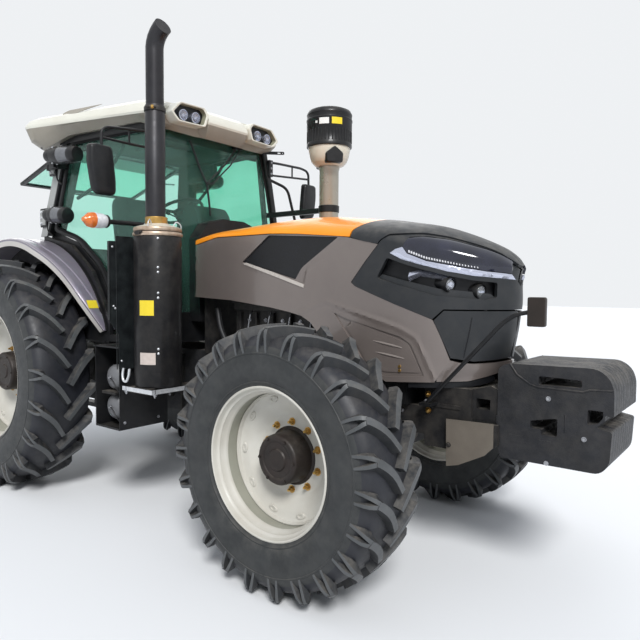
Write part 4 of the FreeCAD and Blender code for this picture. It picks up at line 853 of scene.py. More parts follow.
def side_height(uv):
    """Raised and sunk lines of the grey side panel."""
    lift = np.zeros(len(uv))
    lift += 5 * (1 - ramp(distance_to(uv, CREASE, False), 16))
    # Bevel below and behind the vent
    under = in_uv([(2024, 1699), (2552, 1544), (2580, 1655), (2868, 1836), (2805, 1838), (2561, 1684), (2485, 1596)])
    lift -= 5 * np.where(inside(uv, under), ramp(distance_to(uv, under), 22), 0)
    lift += 3 * (1 - ramp(distance_to(uv, in_uv([(2024, 1699), (2552, 1544), (2580, 1655), (2868, 1836)]), False),
        10))
    return lift


def hood():
    """Grey sides with their vents and a painted highlight strip on the ridge, orange top, and a dark sheet behind the
    gaps as painted shade of the hood's inside.
    """
    shape = [*in_uv(LOW_EDGE), *in_uv([(3250, 1040), (3384, 1046), (3458, 1168)]), *reversed(SEAM)]
    shape += in_uv([(2955, 1812), (2875, 1832)]) + [side_uv(x, z - 5) for x, z in reversed(ORANGE_LOW[:-1])]
    form = Form()
    hood_panel(form, shape, 15, 0, side_height, 10, 0, [VENT, RECESS], 0)
    hood_panel(form, RECESS, 16, -8, None, 0, 0)
    hood_panel(form, INNER, 14, -3.5, None, 5, 0)
    for start, end in (((3020, 1257), (3234, 1219)), ((3040, 1194), (3244, 1162))):
        first, last = Vector(start), Vector(end)
        run = last - first
        wide = Vector((-run.y, run.x)).normalized()
        blade = [first + run * share + wide * size * flip for share, size, flip in ((0, 0.5, 1), (0.12, 4.5, 1),
            (0.35, 9, 1), (0.65, 9.5, 1), (0.9, 5, 1), (1, 0.5, 1), (0.9, 4, -1), (0.65, 7, -1), (0.35, 6, -1),
            (0.12, 3, -1))]
        blade = in_uv([(p.x, p.y) for p in reversed(blade)])
        hood_panel(form, blade, 4, -3.5, lambda uv, edge=blade: 6.5 * ramp(distance_to(uv, edge), 9), 0, 0)
    # Painted highlight: a pale strip along the ridge under the vent
    hood_panel(form, in_uv([(2040, 1699), (2552, 1546), (2556, 1566), (2300, 1644), (2072, 1706)]), None, 6, None, 6,
        4)
    for x, z in ((3204, 1122), (3204, 1100)):
        spot = hood_points(np.array([side_uv(x, z)]))[0]
        for side in (1, -1):
            form.lathe((spot[0], side * (spot[1] - 2), spot[2]), (0.2, side, 0), [(9, 0), (9, 5), (6, 10), (0, 11)],
                14, 5)
    wide = [(x + (4 if x > 2400 else -4), z) for x, z in VENT]
    hood_panel(form, wide, 30, -12, None, 0, 1)
    top = [side_uv(x, z) for x, z in ORANGE_LOW]
    top += on_top([(2890, 385), (2930, 300), (2958, 160), (2965, 0)])
    top += [top_uv(x, 0) for x in range(2880, 1600, -90)] + [*on_top([(1600, 0), (1592, 200), (1580, 370)])]
    hood_panel(form, top, 22, 1, None, 9, 2)
    # Painted shade: a dark sheet inside the hood, seen through the vent and the gaps
    shade_sheet = in_uv([(1565, 1490), (1917, 1473), (2280, 1433), (2532, 1388), (2680, 1290), (3125, 1060), (3370, 1070),
        (3420, 1180), (3330, 1390), (2960, 1560), (3060, 1770), (2860, 1815)])
    shade_sheet += [*on_top([(2870, 0), (1600, 0)]), side_uv(1580, 1845)]
    hood_panel(form, shade_sheet, 60, -32, None, 0, 3)
    # Painted shade: dark blocks in the gap at the hood's back end
    form.box((1556, 1572), (-392, -330), (1500, 1850), 3)
    form.box((1556, 1572), (330, 392), (1500, 1850), 3)
    piece("hood_panels", form, ["hood_grey", "mesh_black", "hood_orange", "nose_dark", "hood_painted_highlight", "brass"],
        "hood_shell", body="hood", angle=28)


def nose():
    """Charcoal cap, bezel, grille and lower trim of the hood's nose."""
    form = Form()
    cap = in_uv([(2893, 1832), (2980, 1806), (3068, 1789)])
    cap += on_top([(3129, 372), (3198, 345), (3302, 288), (3403, 238), (3468, 211)])
    cap += on_top([(3593, 150), (3683, 92), (3722, 40), (3730, 0)])
    cap += [top_uv(x, 0) for x in range(3640, 2980, -60)] + [top_uv(2973, 0)]
    cap += on_top([(2966, 160), (2938, 300), (2898, 388)])
    hood_panel(form, cap, 16, 3, None, 14, 0)
    bezel = [*SEAM[:-1], *in_uv([(3372, 1382), (3428, 1436), (3560, 1436), (3657, 1436)])]
    bezel += in_uv([(3724, 1436), (3729, 1480), (3725, 1560), (3722, 1590)])
    bezel += in_uv([(3669, 1600), (3564, 1612), (3445, 1636), (3312, 1672), (3218, 1698)])
    bezel += in_uv([(3142, 1740), (3172, 1760), (3217, 1770)])
    top_line = [(3240, 352), (3330, 300), (3430, 250), (3555, 185), (3660, 112), (3712, 50), (3722, 0)]
    bezel += [top_uv(x, y - 4) if y > 4 else top_uv(x, 0) for x, y in top_line]
    bezel += [top_uv(x, y) for x, y in ((3727, 0), (3720, 36), (3678, 96), (3590, 156), (3465, 217), (3400, 244),
        (3300, 294), (3196, 351), (3127, 378))]
    slot = rounded(in_uv([(3062, 1602), (3122, 1712), (3215, 1678), (3312, 1648), (3445, 1612), (3564, 1588),
        (3660, 1577), (3660, 1500), (3621, 1488), (3382, 1508), (3190, 1562)]), 16)
    hood_panel(form, bezel, 16, -4, None, 30, 0, [slot])
    hood_panel(form, [*in_uv([(3600, 1640), (3669, 1592), (3722, 1580), (3729, 1540)]),
        *on_top([(3726, 0), (3716, 60), (3690, 96), (3640, 130)])], 16, -16, None, 0, 0)
    shelf = rounded(in_uv([(3050, 1602), (3115, 1735), (3320, 1690), (3560, 1630), (3690, 1600), (3700, 1470),
        (3380, 1490), (3180, 1540)]), 16)
    hood_panel(form, shelf, 30, -58, None, 0, 1)
    hood_panel(form, [*in_uv([(3062, 1602), (3190, 1562), (3382, 1508), (3621, 1488), (3660, 1500), (3640, 1520),
        (3400, 1545), (3205, 1590), (3085, 1622)])], 18, -26, None, 20, 0)
    grille = in_uv([(3380, 1375), (3430, 1428), (3560, 1428), (3657, 1428), (3722, 1428), (3722, 1300), (3683, 1178),
        (3562, 1162), (3461, 1178), (3423, 1274)])
    hood_panel(form, grille, 16, -6, None, 16, 0)
    hood_panel(form, in_uv([(3556, 1395), (3561, 1395), (3522, 1180), (3517, 1180)]), 12, -4.5, None, 2, 1)
    trim = in_uv([(3392, 1178), (3460, 1166), (3505, 1154), (3562, 1150), (3640, 1154), (3682, 1160), (3676, 1120),
        (3640, 1092), (3538, 1055), (3395, 1048)])
    hood_panel(form, trim, 16, 0, lambda uv: -10 * ramp(1130 - uv[:, 1], 70), 12, 2)
    skirt = in_uv([(3250, 1040), (3395, 1045), (3538, 1050), (3640, 1086), (3640, 1052), (3538, 1020), (3250, 1010)])
    hood_panel(form, skirt, 24, -14, None, 10, 1)
    piece("nose_panels", form, ["nose", "nose_dark", "hood_grey"], "hood_nose", body="hood", angle=30)


def headlamps():
    """Main lens with its light strip, the bright crescent below, and the two round lamps in the slot."""
    form = Form()
    lens = [side_uv(3214, 1768), *on_top([(3236, 358), (3300, 320), (3427, 254), (3555, 188), (3655, 118),
        (3706, 60)])]
    lens += in_uv([(3711, 1626), (3620, 1638), (3507, 1658), (3339, 1694), (3242, 1732)])
    hood_panel(form, lens, 12, -3, lambda uv: 2.5 * ramp(distance_to(uv, lens), 20), 10, 0)
    strip = in_uv([(3141, 1736), (3173, 1757), (3212, 1767), (3238, 1731), (3339, 1690), (3507, 1654), (3620, 1634),
        (3710, 1621), (3718, 1594), (3669, 1600), (3564, 1612), (3445, 1635), (3312, 1671), (3218, 1697)])
    hood_panel(form, strip, 12, -2, lambda uv: 5 * ramp(distance_to(uv, strip), 16), 12, 1)
    for k in range(26):
        share = k / 25
        x = 3252 + 330 * share
        z = between(x, (3240, 3339, 3507, 3620), (1738, 1699, 1663, 1643)) + 3
        size = 7 - 3.5 * share
        tooth = in_uv([(x - size * 0.7, z), (x + size * 0.7, z - 1), (x + size * 0.2, z + size * 1.9),
            (x - size * 0.9, z + size * 1.7)])
        hood_panel(form, tooth, None, 0.5, None, 1.5, 2)
    for x, z in ((3475, 1568), (3610, 1532)):
        uv = np.array([side_uv(x, z)])
        spot = hood_points(uv)[0]
        for side in (1, -1):
            centre = Vector((spot[0] - 40, side * (spot[1] + 22), spot[2]))
            aim = Vector((0.94, -0.30 * side, -0.12)).normalized()
            form.lathe(centre, aim, [(34, -70), (36, -20), (41, -16), (43, 8), (40, 16), (35, 16), (31, 6)], 28, 3,
                caps=False)
            form.lathe(centre, aim, [(31, 6), (26, 0), (14, -8), (0, -12)], 28, 1, caps=False)
            form.lathe(centre, aim, [(32, 8), (28, 15), (18, 21), (8, 23), (0, 23.5)], 28, 4, caps=False)
    for side in (1, -1):
        row = [(3240, 1608, 24), (3300, 1628, 16), (3390, 1612, 14), (3440, 1600, 14)]
        loops = []
        for x, z, tall in row:
            point = hood_points(np.array([side_uv(x, z)]))[0]
            inner = Vector((point[0], side * (point[1] + 26), point[2]))
            loops.append([inner + Vector((0, 0, tall)), inner + Vector((0, -side * 12, 0)),
                inner - Vector((0, 0, tall * 1.1)), inner + Vector((0, side * 20, 0))])
        form.skin(loops, 1)
    piece("headlamp_set", form, ["lens", "chrome", "frosted", "black", "clear"], "headlamps", body="hood",
        angle=30)


# Front weights and frame
def weights():
    """Ten cast plates side by side, each with its handle slot, keyhole and window."""
    back = WEIGHT_BACK
    form = Form()

    def shifted(points):
        return [(back + x, z) for x, z in points]

    outline = rounded(shifted([(0, 750), (20, 690), (490, 690), (531, 737), (540, 893), (470, 905), (508, 940),
        (508, 966), (545, 962), (545, 1085), (522, 1142), (468, 1180), (47, 1172), (0, 1146)]),
        (14, 18, 40, 30, 12, 14, 6, 6, 8, 40, 45, 45, 40, 20))
    handle = rounded(shifted([(203, 1078), (404, 1084), (405, 1119), (203, 1122)]), 12)
    keyhole = rounded(shifted([(168, 862), (221, 862), (221, 836), (297, 836), (297, 922), (280, 922), (168, 898)]),
        7)
    window = rounded(shifted([(432, 985), (432, 915), (478, 925), (500, 955), (500, 985)]), 8)
    for k in range(10):
        low = WEIGHT_PITCH * (k - 5) + 1.5
        form.plate(outline, "xz", low, low + 47, [handle, keyhole, window])
    inner = Form()
    # Cast ridge, bolts and ribs on the two outer faces
    for side in (1, -1):
        y = side * 249
        ridge = shifted([(60, 1172), (96, 1120), (162, 1078), (200, 1068), (410, 1066), (440, 1078), (540, 1084)])
        inner.tube([(x, y - side * 1, z) for x, z in ridge], 5, 8)
        for x, z in ((252, 1016), (420, 844)):
            inner.bolt((back + x, y, z), (0, side, 0), 9, 1)
        inner.tube([(back + 333, y, 864), (back + 333, y, 948)], 3.5, 6)
        for x, z, w, h in ((60, 780, 90, 36), (210, 775, 60, 34)):
            inner.box((back + x, back + x + w), (min(y - side * 4, y + side * 1.2),
                max(y - side * 4, y + side * 1.2)), (z, z + h))
    form.join(inner)
    form.box((back - 6, back + 10), (-246, 246), (860, 900), 0)
    form.tube([(back + 250, -252, 700), (back + 250, 252, 700)], 12, 12, 1)
    piece("weight_stack", form, ["cast", "steel"], "front_weights", bevel=2.5)


def front_frame():
    """Side plates, bolts and hoses round the front axle."""
    f = FRONT_AXLE
    form = Form()
    for side in (1, -1):
        y = side * 281
        sheet = [(571, 853), (832, 861), (832, 738), (787, 691), (645, 617), (576, 599)]
        form.plate([(f + x, z) for x, z in sheet], "xz", *sorted((y, y + side * 4)), mark=4)
        form.bolt((f + 588, y + side * 4, 716), (0, side, 0), 10, 0)
        for x, z in ((451, 969), (453, 880), (290, 985)):
            form.bolt((f + x, side * RAIL_SIDE, z), (0, side, 0), 13, 1)
            form.lathe((f + x, side * RAIL_SIDE, z), (0, side, 0), [(8, 8), (8, 16), (5, 19), (0, 19)], 12, 1)
        for x in range(-900, 420, 170):
            form.bolt((f + x, side * RAIL_SIDE, 860), (0, side, 0), 9, 2)
        form.tube([(f + 120, side * 300, 980), (f + 180, side * 330, 900), (f + 80, side * 380, 820),
            (f - 20, side * 470, 800), (f - 40, side * 560, 790)], 9, 10, 3, turns=5)
        form.tube([(f - 160, side * 300, 960), (f - 150, side * 320, 860), (f - 60, side * 400, 790),
            (f - 60, side * 540, 775)], 8, 10, 3, turns=5)
        form.box((f + 440, f + 640), (side * 262 - 4, side * 262 + 4), (905, 925), 0)
    piece("front_fasteners", form, ["frame", "brass", "steel", "hose", "plate"], angle=35)


# Exhaust, cleaner and side gear
def exhaust():
    """Guard drum with its cream cap and clamps, foot, stack with its sleeve and bent outlet."""
    x, y, r = DRUM_X, DRUM_Y, DRUM_RADIUS
    form = Form()
    form.lathe((x, y, 0), UP, [(r - 15, 900), (r - 2, 904), (r, 912), (r, 1864), (r - 2, 1868), (r - 5, 1868),
        (r - 5, 1900), (120, 1900)], 56, 0)
    for low, size in ((1868, r + 6), (1899, r + 2)):
        form.lathe((x, y, 0), UP, [(r - 8, low), (size - 3, low + 1), (size, low + 6), (size + 1, low + 14),
            (size - 1, low + 23), (size - 5, low + 27), (r - 8, low + 28)], 56, 6)
    form.lathe((x, y, 0), UP, [(r - 5, 1922), (r - 14, 1930), (118, 1936), (96, 1941), (82, 1948), (72, 1953),
        (60, 1955)], 56, 2)
    form.lathe((x, -757, 0), UP, [(62, 1950), (70, 1951), (72, 1958), (70, 1980), (72, 1990), (69, 1995), (63, 1996)],
        40, 1)
    form.box((x - 10, x + 34), (y - r - 16, y - r + 6), (1872, 1898), 3)
    form.tube([(x - 26, y - r - 6, 1886), (x + 50, y - r - 6, 1890)], 6, 8, 3)
    for turn in (60, 180, 300):
        form.tube([(*polar(x, y, size, radians(turn)), z) for size, z in ((r - 6, 1905), (r, 1950), (120, 1976),
            (96, 1940))], 4, 8, 4, turns=5)
    for z in (1850, 1668, 1638, 1507, 1476, 1152, 1123):
        for turn in (-37, 143):
            a = radians(turn)
            form.lathe((*polar(x, y, r - 1, a), z), (cos(a), sin(a), 0), [(8, 0), (8, 3), (5, 6), (0, 7)], 14, 4)
    for low, high, turn, wide, mark in ((1363, 1459, -66, 100, 5), (1051, 1127, -64, 108, 7)):
        form.skin([[(*polar(x, y, r + 0.8, a), z) for a in (radians(turn) + wide / r * (k / 6 - 0.5)
            for k in range(7))] for z in (low, high)], mark, open_loops=True)
    form.box((x - 100, x + 100), (-905, -640), (862, 900), 3)
    form.box((x - 70, x + 70), (-650, -262), (846, 878), 3)
    piece("exhaust_drum", form, ["drum", "brass", "cream", "frame", "zinc", "yellow", "clamp", "label_pale"],
        "exhaust_guard", bevel=1.5)
    pipe = Form()
    y = STACK_Y
    pipe.lathe((x, y, 0), UP, [(60, 1966), (63.5, 1968), (63.5, 2700), (60, 2706), (57, 2706), (57, 3040)], 40, 0,
        caps=False)
    pipe.tube([(x, y, 3040), (x, y, 3066), (x + 6, y, 3095), (x + 18, y, 3123), (x + 40, y, 3150), (x + 66, y, 3171),
        (x + 88, y, 3183)], 57, 36, 0)
    pipe.lathe((x, y, 0), UP, [(57, 2664), (68, 2665), (69, 2690), (66, 2694), (57, 2695)], 40, 1)
    pipe.tube([(x + 30, y - 66, 2680), (x + 62, y - 40, 2680)], 6, 8, 1)
    pipe.bolt((x + 20, y - 72, 2680), (0, -1, 0), 8, 1)
    pipe.bolt((x + 46, y - 54, 2680), (0.6, -0.8, 0), 9, 2)
    piece("exhaust_pipe", pipe, ["pipe", "frame", "brass"], "exhaust_stack")


def cleaner():
    """Air pre-cleaner: ribbed cap, cream bowl with its outlets, neck down beside the hood to the engine."""
    x, y = CLEANER_X, CLEANER_Y
    form = Form()
    form.lathe((x, y, 0), UP, [(60, 1470), (74, 1474), (74, 2440), (79, 2448), (80, 2474), (76, 2480)], 40, 2)
    form.lathe((x, y, 0), UP, [(82, 2470), (112, 2478), (134, 2502), (148, 2540), (158, 2588), (160, 2612),
        (150, 2636)], 48, 1)
    form.lathe((x, y, 0), UP, [(164, 2606), (172, 2610), (172, 2634), (168, 2640), (168, 2730), (172, 2736),
        (172, 2796), (175, 2800), (175, 2812), (171, 2816), (170, 2842), (173, 2846), (172, 2856), (160, 2878),
        (128, 2892), (80, 2899), (0, 2901)], 56, 0)
    for a in around(40):
        out = Vector((cos(a), sin(a), 0))
        middle = Vector((x, y, 0)) + out * 168
        form.tube([middle + Vector((0, 0, 2642)), middle + Vector((0, 0, 2728))], 4.5, 6, 0)
    for turn in (-38, 142):
        a = radians(turn)
        out = Vector((cos(a), sin(a), 0))
        side = Vector((-sin(a), cos(a), 0))
        form.skin([[Vector((x, y, 2536)) + out * reach + side * b * grow + Vector((0, 0, c * grow))
            for b, c in rounded([(-62, -58), (62, -58), (66, 10), (0, 62), (-66, 10)], 12, 3)]
            for reach, grow in ((90, 1.0), (158, 1.0), (166, 0.94))], 0)
    form.lathe((x, y, 0), UP, [(74, 2122), (79, 2124), (80, 2172), (74, 2176)], 40, 3)
    form.lathe((x, y, 0), UP, [(70, 1460), (80, 1464), (80, 1540), (74, 1546)], 40, 3)
    form.tube([(x, y, 1500), (x, y, 1420), (x, y - 40, 1350), (x, y - 110, 1328), (x, y - 250, 1326)], 66, 28, 0,
        turns=5)
    form.box((1386.5, 2050), (515, 545), (2130, 2170), 3)
    form.bolt((1985, 514, 2150), (0, -1, 0), 11, 5)
    for turn, wide, low, high, mark in ((-34, 0.46, 2752, 2800, 4), (-66, 0.42, 2752, 2796, 6), (-86, 0.1, 2762, 2778,
        6)):
        form.skin([[(*polar(x, y, 175.8, a), z) for a in (radians(turn) + wide * (k / 8 - 0.5) for k in range(9))]
            for z in (low, high)], mark, open_loops=True)
    piece("air_precleaner", form, ["black", "cream", "satin", "black", "yellow", "brass", "label"], "precleaner",
        bevel=1.5)


# Cab
def roof():
    """Moulded roof: lower shell, cream upper shell, hexagonal lamp pods, grey corner inserts and speakers."""
    form = Form()

    def along(a, low, high, start=-300, end=1400):
        share = min(1, max(0, (a - start) / (end - start)))
        return low + (high - low) * share

    def low_edge(a):
        if a < 430:
            return along(a, 2652, 2712, 150, 420)
        return along(a, 2712, 2640, 1180, 1400)

    # Half widths at the back and front, back and front ends, and height along the side
    rows = ((500, 380, 0, 1250, lambda a: 2716 if a < 1200 else along(a, 2716, 2680, 1180, 1400)),
        (690, 545, -130, 1375, lambda a: low_edge(a) + 4), (715, 575, -165, 1410, low_edge), (775, 625, -245, 1452,
        lambda a: low_edge(a) + 62 if a < 1180 else low_edge(a) + 40), (796, 652, -283, 1476, lambda a: along(a, 2826,
        2738) - 8), (800, 658, -290, 1482, lambda a: along(a, 2832, 2744)), (798, 654, -287, 1478,
        lambda a: along(a, 2848, 2764)), (778, 632, -262, 1452, lambda a: along(a, 2880, 2806)),
        (740, 590, -215, 1405, lambda a: along(a, 2898, 2844)), (670, 520, -140, 1320, lambda a: along(a, 2908,
        2870)), (540, 400, -20, 1180, lambda a: along(a, 2913, 2892)), (330, 240, 160, 980, lambda a: along(a, 2915,
        2906)))
    loops = []
    for rear, ahead, back, front, height in rows:
        cut = min(230, rear - 120)
        left = rounded([(back, 0), (back, rear - cut), (back + cut, rear), (front - 90, ahead), (front, ahead - 260),
            (front, 0)], (0.1, 70, 80, 90, 130, 0.1), 6)
        whole = divided(left + [(a, -b) for a, b in reversed(left) if b > 0.01], 40)
        loops.append([(a, b, height(a)) for a, b in whole])
    same = [resampled(loop, 150) for loop in loops]
    same = [[(min(x, 1396) if 214 < abs(y) < 540 else x, y, z) for x, y, z in loop] for loop in same]
    form.skin(same[:5], 1, caps=False)
    form.skin(same[4:], 0, caps=False)
    form.faces.append(list(range(149, -1, -1)))
    form.marks.append(1)
    form.faces.append(list(range(len(form.points) - 150, len(form.points))))
    form.marks.append(0)
    for index, face in enumerate(form.faces):
        middle = sum((form.points[i] for i in face), Vector()) / len(face)
        if middle.x < -40 and abs(middle.y) > 560 and 2770 < middle.z < 2890 and len(face) < 9:
            form.marks[index] = 4
    for side in (1, -1):
        hexagon = [(548, 2746), (470, 2828), (240, 2834), (203, 2790), (236, 2698), (486, 2690)]
        middle = (372, 2762)
        loops = []
        for x, grow in ((1330, 1.0), (1480, 1.0), (1489, 0.98), (1490, 0.93), (1486, 0.86), (1450, 0.83),
            (1404, 0.74)):
            shape = rounded([(middle[0] + (y - middle[0]) * grow,
                middle[1] + (z - middle[1]) * (grow - 0.04 * (1 - grow))) for y, z in hexagon], 16, 3)
            loops.append([(x, side * y, z) for y, z in shape])
        form.skin(loops[:5], 0, caps=False)
        # Painted shade: the pod's inner wall takes the darker roof grey
        form.skin(loops[4:6], 3, caps=False)
        form.skin(loops[5:], 2)
        wedge = Form()
        wedge.plate(rounded([(372, 2812), (452, 2808), (478, 2842), (860, 2874), (440, 2896), (392, 2880)], 12), "xz",
            0, 5, mark=1)
        form.join(wedge, lambda p: (p.x, side * (776 - 0.085 * (p.x + 240) - 0.8 * max(0, p.z - 2850) + p.y), p.z))
        form.lathe((150, side * 560, 2906), UP, [(16, 0), (16, 6), (12, 8)], 14, 2)
        ring(form, (150, side * 560, 2920), (1, 0, 0), 15, 3.5, 2, 20)
        ring(form, (1180, side * 420, 2888), (1, 0, 0), 15, 3.5, 2, 20)
        form.lathe((60, side * 640, 2662), (0, 0, -1), [(70, -20), (70, 2), (62, 6), (58, 0), (0, 0)], 28, 2)
    piece("roof_shell", form, ["roof", "roof_grey", "black", "roof_shade", "roof_insert"], "roof",
        bevel=3, angle=32)


def door_plane(side):
    """The door's plane as the part has it: leaning in to the roof and closing in to the front."""
    lean = Matrix.Rotation(radians(4.4), 3, "X")
    toe = Matrix.Rotation(radians(-5.4), 3, "Z")
    turn = toe @ lean

    def place(x, across, z):
        point = turn @ Vector((x - 150, across, z - 2100)) + Vector((150, 700, 2100))
        return Vector((point.x, side * point.y, point.z))

    return place


DOOR = [(1035, 1210), (1385, 1210), (1303, 2692), (354, 2692), (215, 1985), (520, 1895), (800, 1690), (968, 1440),
    (1035, 1300)]
PANE = [(1064, 1240), (1354, 1240), (1275, 2662), (382, 2662), (250, 2008), (534, 1924), (824, 1714), (996, 1456),
    (1064, 1310)]


def doors():
    """Slim black door frames with their seals, hinges and handles."""
    for name, side in (("left", 1), ("right", -1)):
        place = door_plane(side)
        form = Form()
        flat = Form()
        outline = rounded(DOOR, (40, 40, 70, 70, 40, 60, 80, 60, 40), 5)
        hole = rounded(PANE, (35, 35, 60, 60, 35, 60, 80, 60, 35), 5)
        flat.plate(outline, "xz", -40, -2, [hole])
        loops = []
        for i, (x, z) in enumerate(hole):
            ax, az = hole[i - 1]
            bx, bz = hole[(i + 1) % len(hole)]
            direction = Vector((bx - ax, bz - az)).normalized()
            normal = Vector((direction.y, -direction.x))
            loops.append([(x + normal.x * a, b, z + normal.y * a) for a, b in ((9, 0), (-9, 0), (-12, -6), (-9, -14),
                (9, -14))])
        flat.skin(loops, 1, wrap=True)
        form.join(flat, lambda p: place(p.x, p.y, p.z))
        for height, reach, inner in ((2080, 262, 672), (2480, 345, 635)):
            form.lathe((DOOR_PIN_X, side * DOOR_PIN_Y, height), UP, [(15.5, -20), (15.5, 20)], 20, 0)
            form.box((DOOR_PIN_X, reach), span(side, 713, 733), (height - 18, height + 18), 0)
            form.box((reach - 20, reach), span(side, inner, 733), (height - 18, height + 18), 0)
            form.bolt((reach - 10, side * 733, height), (0, side, 0), 7, 0)
        handle = Form()
        handle.tube([(1180, 4, 1700), (1180, 34, 1690), (1190, 34, 1610), (1190, 4, 1600)], 9, 10, 0, turns=4)
        handle.plate(rounded([(1150, 1580), (1225, 1580), (1225, 1720), (1150, 1720)], 14), "xz", -4, 6, mark=0)
        form.join(handle, lambda p: place(p.x, p.y, p.z))
        piece(f"{name}_door_frame", form, ["black", "rubber_seal"], f"{name}_door",
            body=f"{name}_cab_door", bevel=2.5)
        pane = Form()
        sheet = Form()
        sheet.plate(rounded(PANE, (30, 30, 50, 50, 30, 60, 80, 60, 30), 5), "xz", -23, -18)
        pane.join(sheet, lambda p: place(p.x, p.y, p.z))
        piece(f"{name}_door_pane", pane, "glass", f"{name}_door_glass", body=f"{name}_cab_door")


def fenders():
    """Painted fender skin with its lip, pale flange and dark inner wall, the cab's side wall and a blank label."""
    for name, side in (("left", 1), ("right", -1)):
        form = Form()
        loops, rubber, flange, wall = [], [], [], []
        for k in range(41):
            angle = radians(20 + 112 * k / 40)
            # The outer edge runs in towards the front end, fastest over the last steps
            outer = 970 - 160 * max(0, 1 - k / 16.7) - 60 * max(0, 1 - k / 7) ** 2

            def arc(points):
                return [(
                    (FENDER_RADIUS + out) * cos(angle), side * y, REAR_RADIUS + (FENDER_RADIUS + out) * sin(angle),
                ) for out, y in points]

            loops.append(arc((
                (-30, 722), (-2, 722), (0, 730), (0, outer - 92), (-8, outer - 86), (-8, outer - 78),
                (0, outer - 70), (0, outer - 34), (-3, outer - 14), (-11, outer - 2), (-21, outer - 2),
                (-35, outer - 6), (-35, outer - 12), (-31, outer - 30))))
            rubber.append(arc(((-2, 716), (3, 724), (1, 736), (-9, 742), (-13, 718))))
            for strip, low, y in ((flange, -63, outer - 3), (wall, -215, 709)):
                strip.append(arc(((-9, y), (low, y), (low, y - 5), (-9, y - 5))))
        for mark, strip in enumerate((loops, rubber, flange, wall)):
            form.skin(strip, mark)
        form.plate([(105, 1916), (150, 1975), (205, 1978), (512, 1886), (790, 1682), (958, 1434), (1020, 1290),
            (960, 1260), (905, 1398), (739, 1615), (522, 1781), (350, 1860), (181, 1905)], "xz",
            *span(side, 662, 670), mark=3, step=60)
        size = FENDER_RADIUS + 1.8
        label = [[(size * cos(a), side * y, REAR_RADIUS + size * sin(a)) for y in (748, 826)]
            for a in (radians(29.4), radians(31.2), radians(33.0))]
        form.skin(label, 4, open_loops=True)
        piece(f"{name}_wing", form, ["fender", "rubber_seal", "wing_edge", "black", "yellow"], f"{name}_fender",
            angle=30)


def rim_of(form, corners, wide, thick, mark=0):
    """A flat frame along the edges of a pane, wide inward and thick on both faces."""
    corners = [Vector(c) for c in corners]
    middle = sum(corners, Vector()) / len(corners)
    normal = (corners[1] - corners[0]).cross(corners[2] - corners[1]).normalized()
    loops = []
    for i, here in enumerate(corners):
        before = (corners[i - 1] - here).normalized()
        after = (corners[(i + 1) % len(corners)] - here).normalized()
        inward = (before + after).normalized()
        reach = wide / max(0.3, sin(before.angle(after) / 2))
        if inward.dot(middle - here) < 0:
            inward = -inward
        loops.append([here + normal * thick, here - normal * thick, here + inward * reach - normal * thick,
            here + inward * reach + normal * thick])
    return form.skin(loops, mark, wrap=True)


def pad(form, place, size, seams=(), across=(), mark=0, n=16, pull=0.05, droop=0.34):
    """A stuffed cushion: crowned on top, drawn in between its corners and down along its sewn lines."""
    for axis in range(3):
        for sign in (1, -1):
            points = []
            for i in range(n + 1):
                for j in range(n + 1):
                    spot = [0.0, 0.0, 0.0]
                    spot[axis] = sign
                    spot[(axis + 1) % 3] = 2 * i / n - 1
                    spot[(axis + 2) % 3] = 2 * j / n - 1
                    a, b, c = spot
                    shrink = (abs(a) ** 7 + abs(b) ** 7 + abs(c) ** 7) ** (-1 / 7)
                    a, b, c = a * shrink, b * shrink, c * shrink
                    x = size[0] * a * (1 - pull * (1 - b * b) * a * a)
                    y = size[1] * b * (1 - pull * (1 - a * a) * b * b)
                    z = size[2] * c * (1 - droop * (a ** 4 + b ** 4 - a ** 4 * b ** 4) * abs(c))
                    if c > 0:
                        for line in seams:
                            z -= 9 * c * exp(-((y - line) / 7) ** 2)
                        for line in across:
                            z -= 9 * c * exp(-((x - line) / 7) ** 2)
                    points.append(place(x, y, z))
            faces = []
            for i in range(n):
                for j in range(n):
                    k = i * (n + 1) + j
                    faces.append((k, k + 1, k + n + 2, k + n + 1))
            form.add(points, faces, mark)
    return form


def seat():
    """Sprung seat: crowned cushion and back rest with sewn channels, arm rests, bellows and rails."""
    cushion = Form()
    pad(cushion, lambda x, y, z: (566 + x, y, 1660 + z), (234, 238, 59), (-120, 120), (-70, 70), n=26)
    thing = piece("seat_cushion", cushion, "seat_cloth", "seat", angle=80, subdivide=1)
    lean = radians(9.9)
    back = Form()

    def rest(x, y, z):
        # Height runs along x, and the crowned face looks ahead
        return (331 - x * sin(lean) + z * cos(lean), y * (1 - 0.10 * max(0, x / 345) ** 2),
            1985 + x * cos(lean) + z * sin(lean))

    pad(back, rest, (345, 226, 55), (-110, 110), (-180, -60, 60, 180), n=26)
    thing = piece("seat_back", back, "seat_cloth", (), angle=80, subdivide=1)
    arms = Form()
    for side in (1, -1):
        pad(arms, lambda x, y, z: (545 + x, side * 262 + y, 1835 + z), (150, 30, 20), n=10)
    thing = piece("seat_arms", arms, "seat_cloth", (), angle=80)
    base = Form()
    for k in range(9):
        low = 1290 + 32 * k
        swell = 0 if k % 2 else 16
        loops = []
        for z, grow in ((low, swell), (low + 32, 16 - swell)):
            shape = rounded([(415 - grow, -160 - grow), (705 + grow, -160 - grow), (705 + grow, 160 + grow),
                (415 - grow, 160 + grow)], 50)
            loops.append([(x, y, z) for x, y in shape])
        base.skin(loops, 0, caps=False)
    base.box((385, 735), (-175, 175), (1200, 1292), 1)
    base.box((380, 740), (-180, 180), (1575, 1603), 1)
    for side in (1, -1):
        base.tube([(395, side * 250, 1640), (400, side * 262, 1812), (430, side * 262, 1818)], 9, 8, 1, turns=4)
        base.lathe((405, side * 240, 1640), (0, side, 0), [(34, 0), (34, 14), (26, 20), (0, 20)], 24, 1)
    piece("seat_base", base, ["rubber_seal", "console"], (), bevel=2)


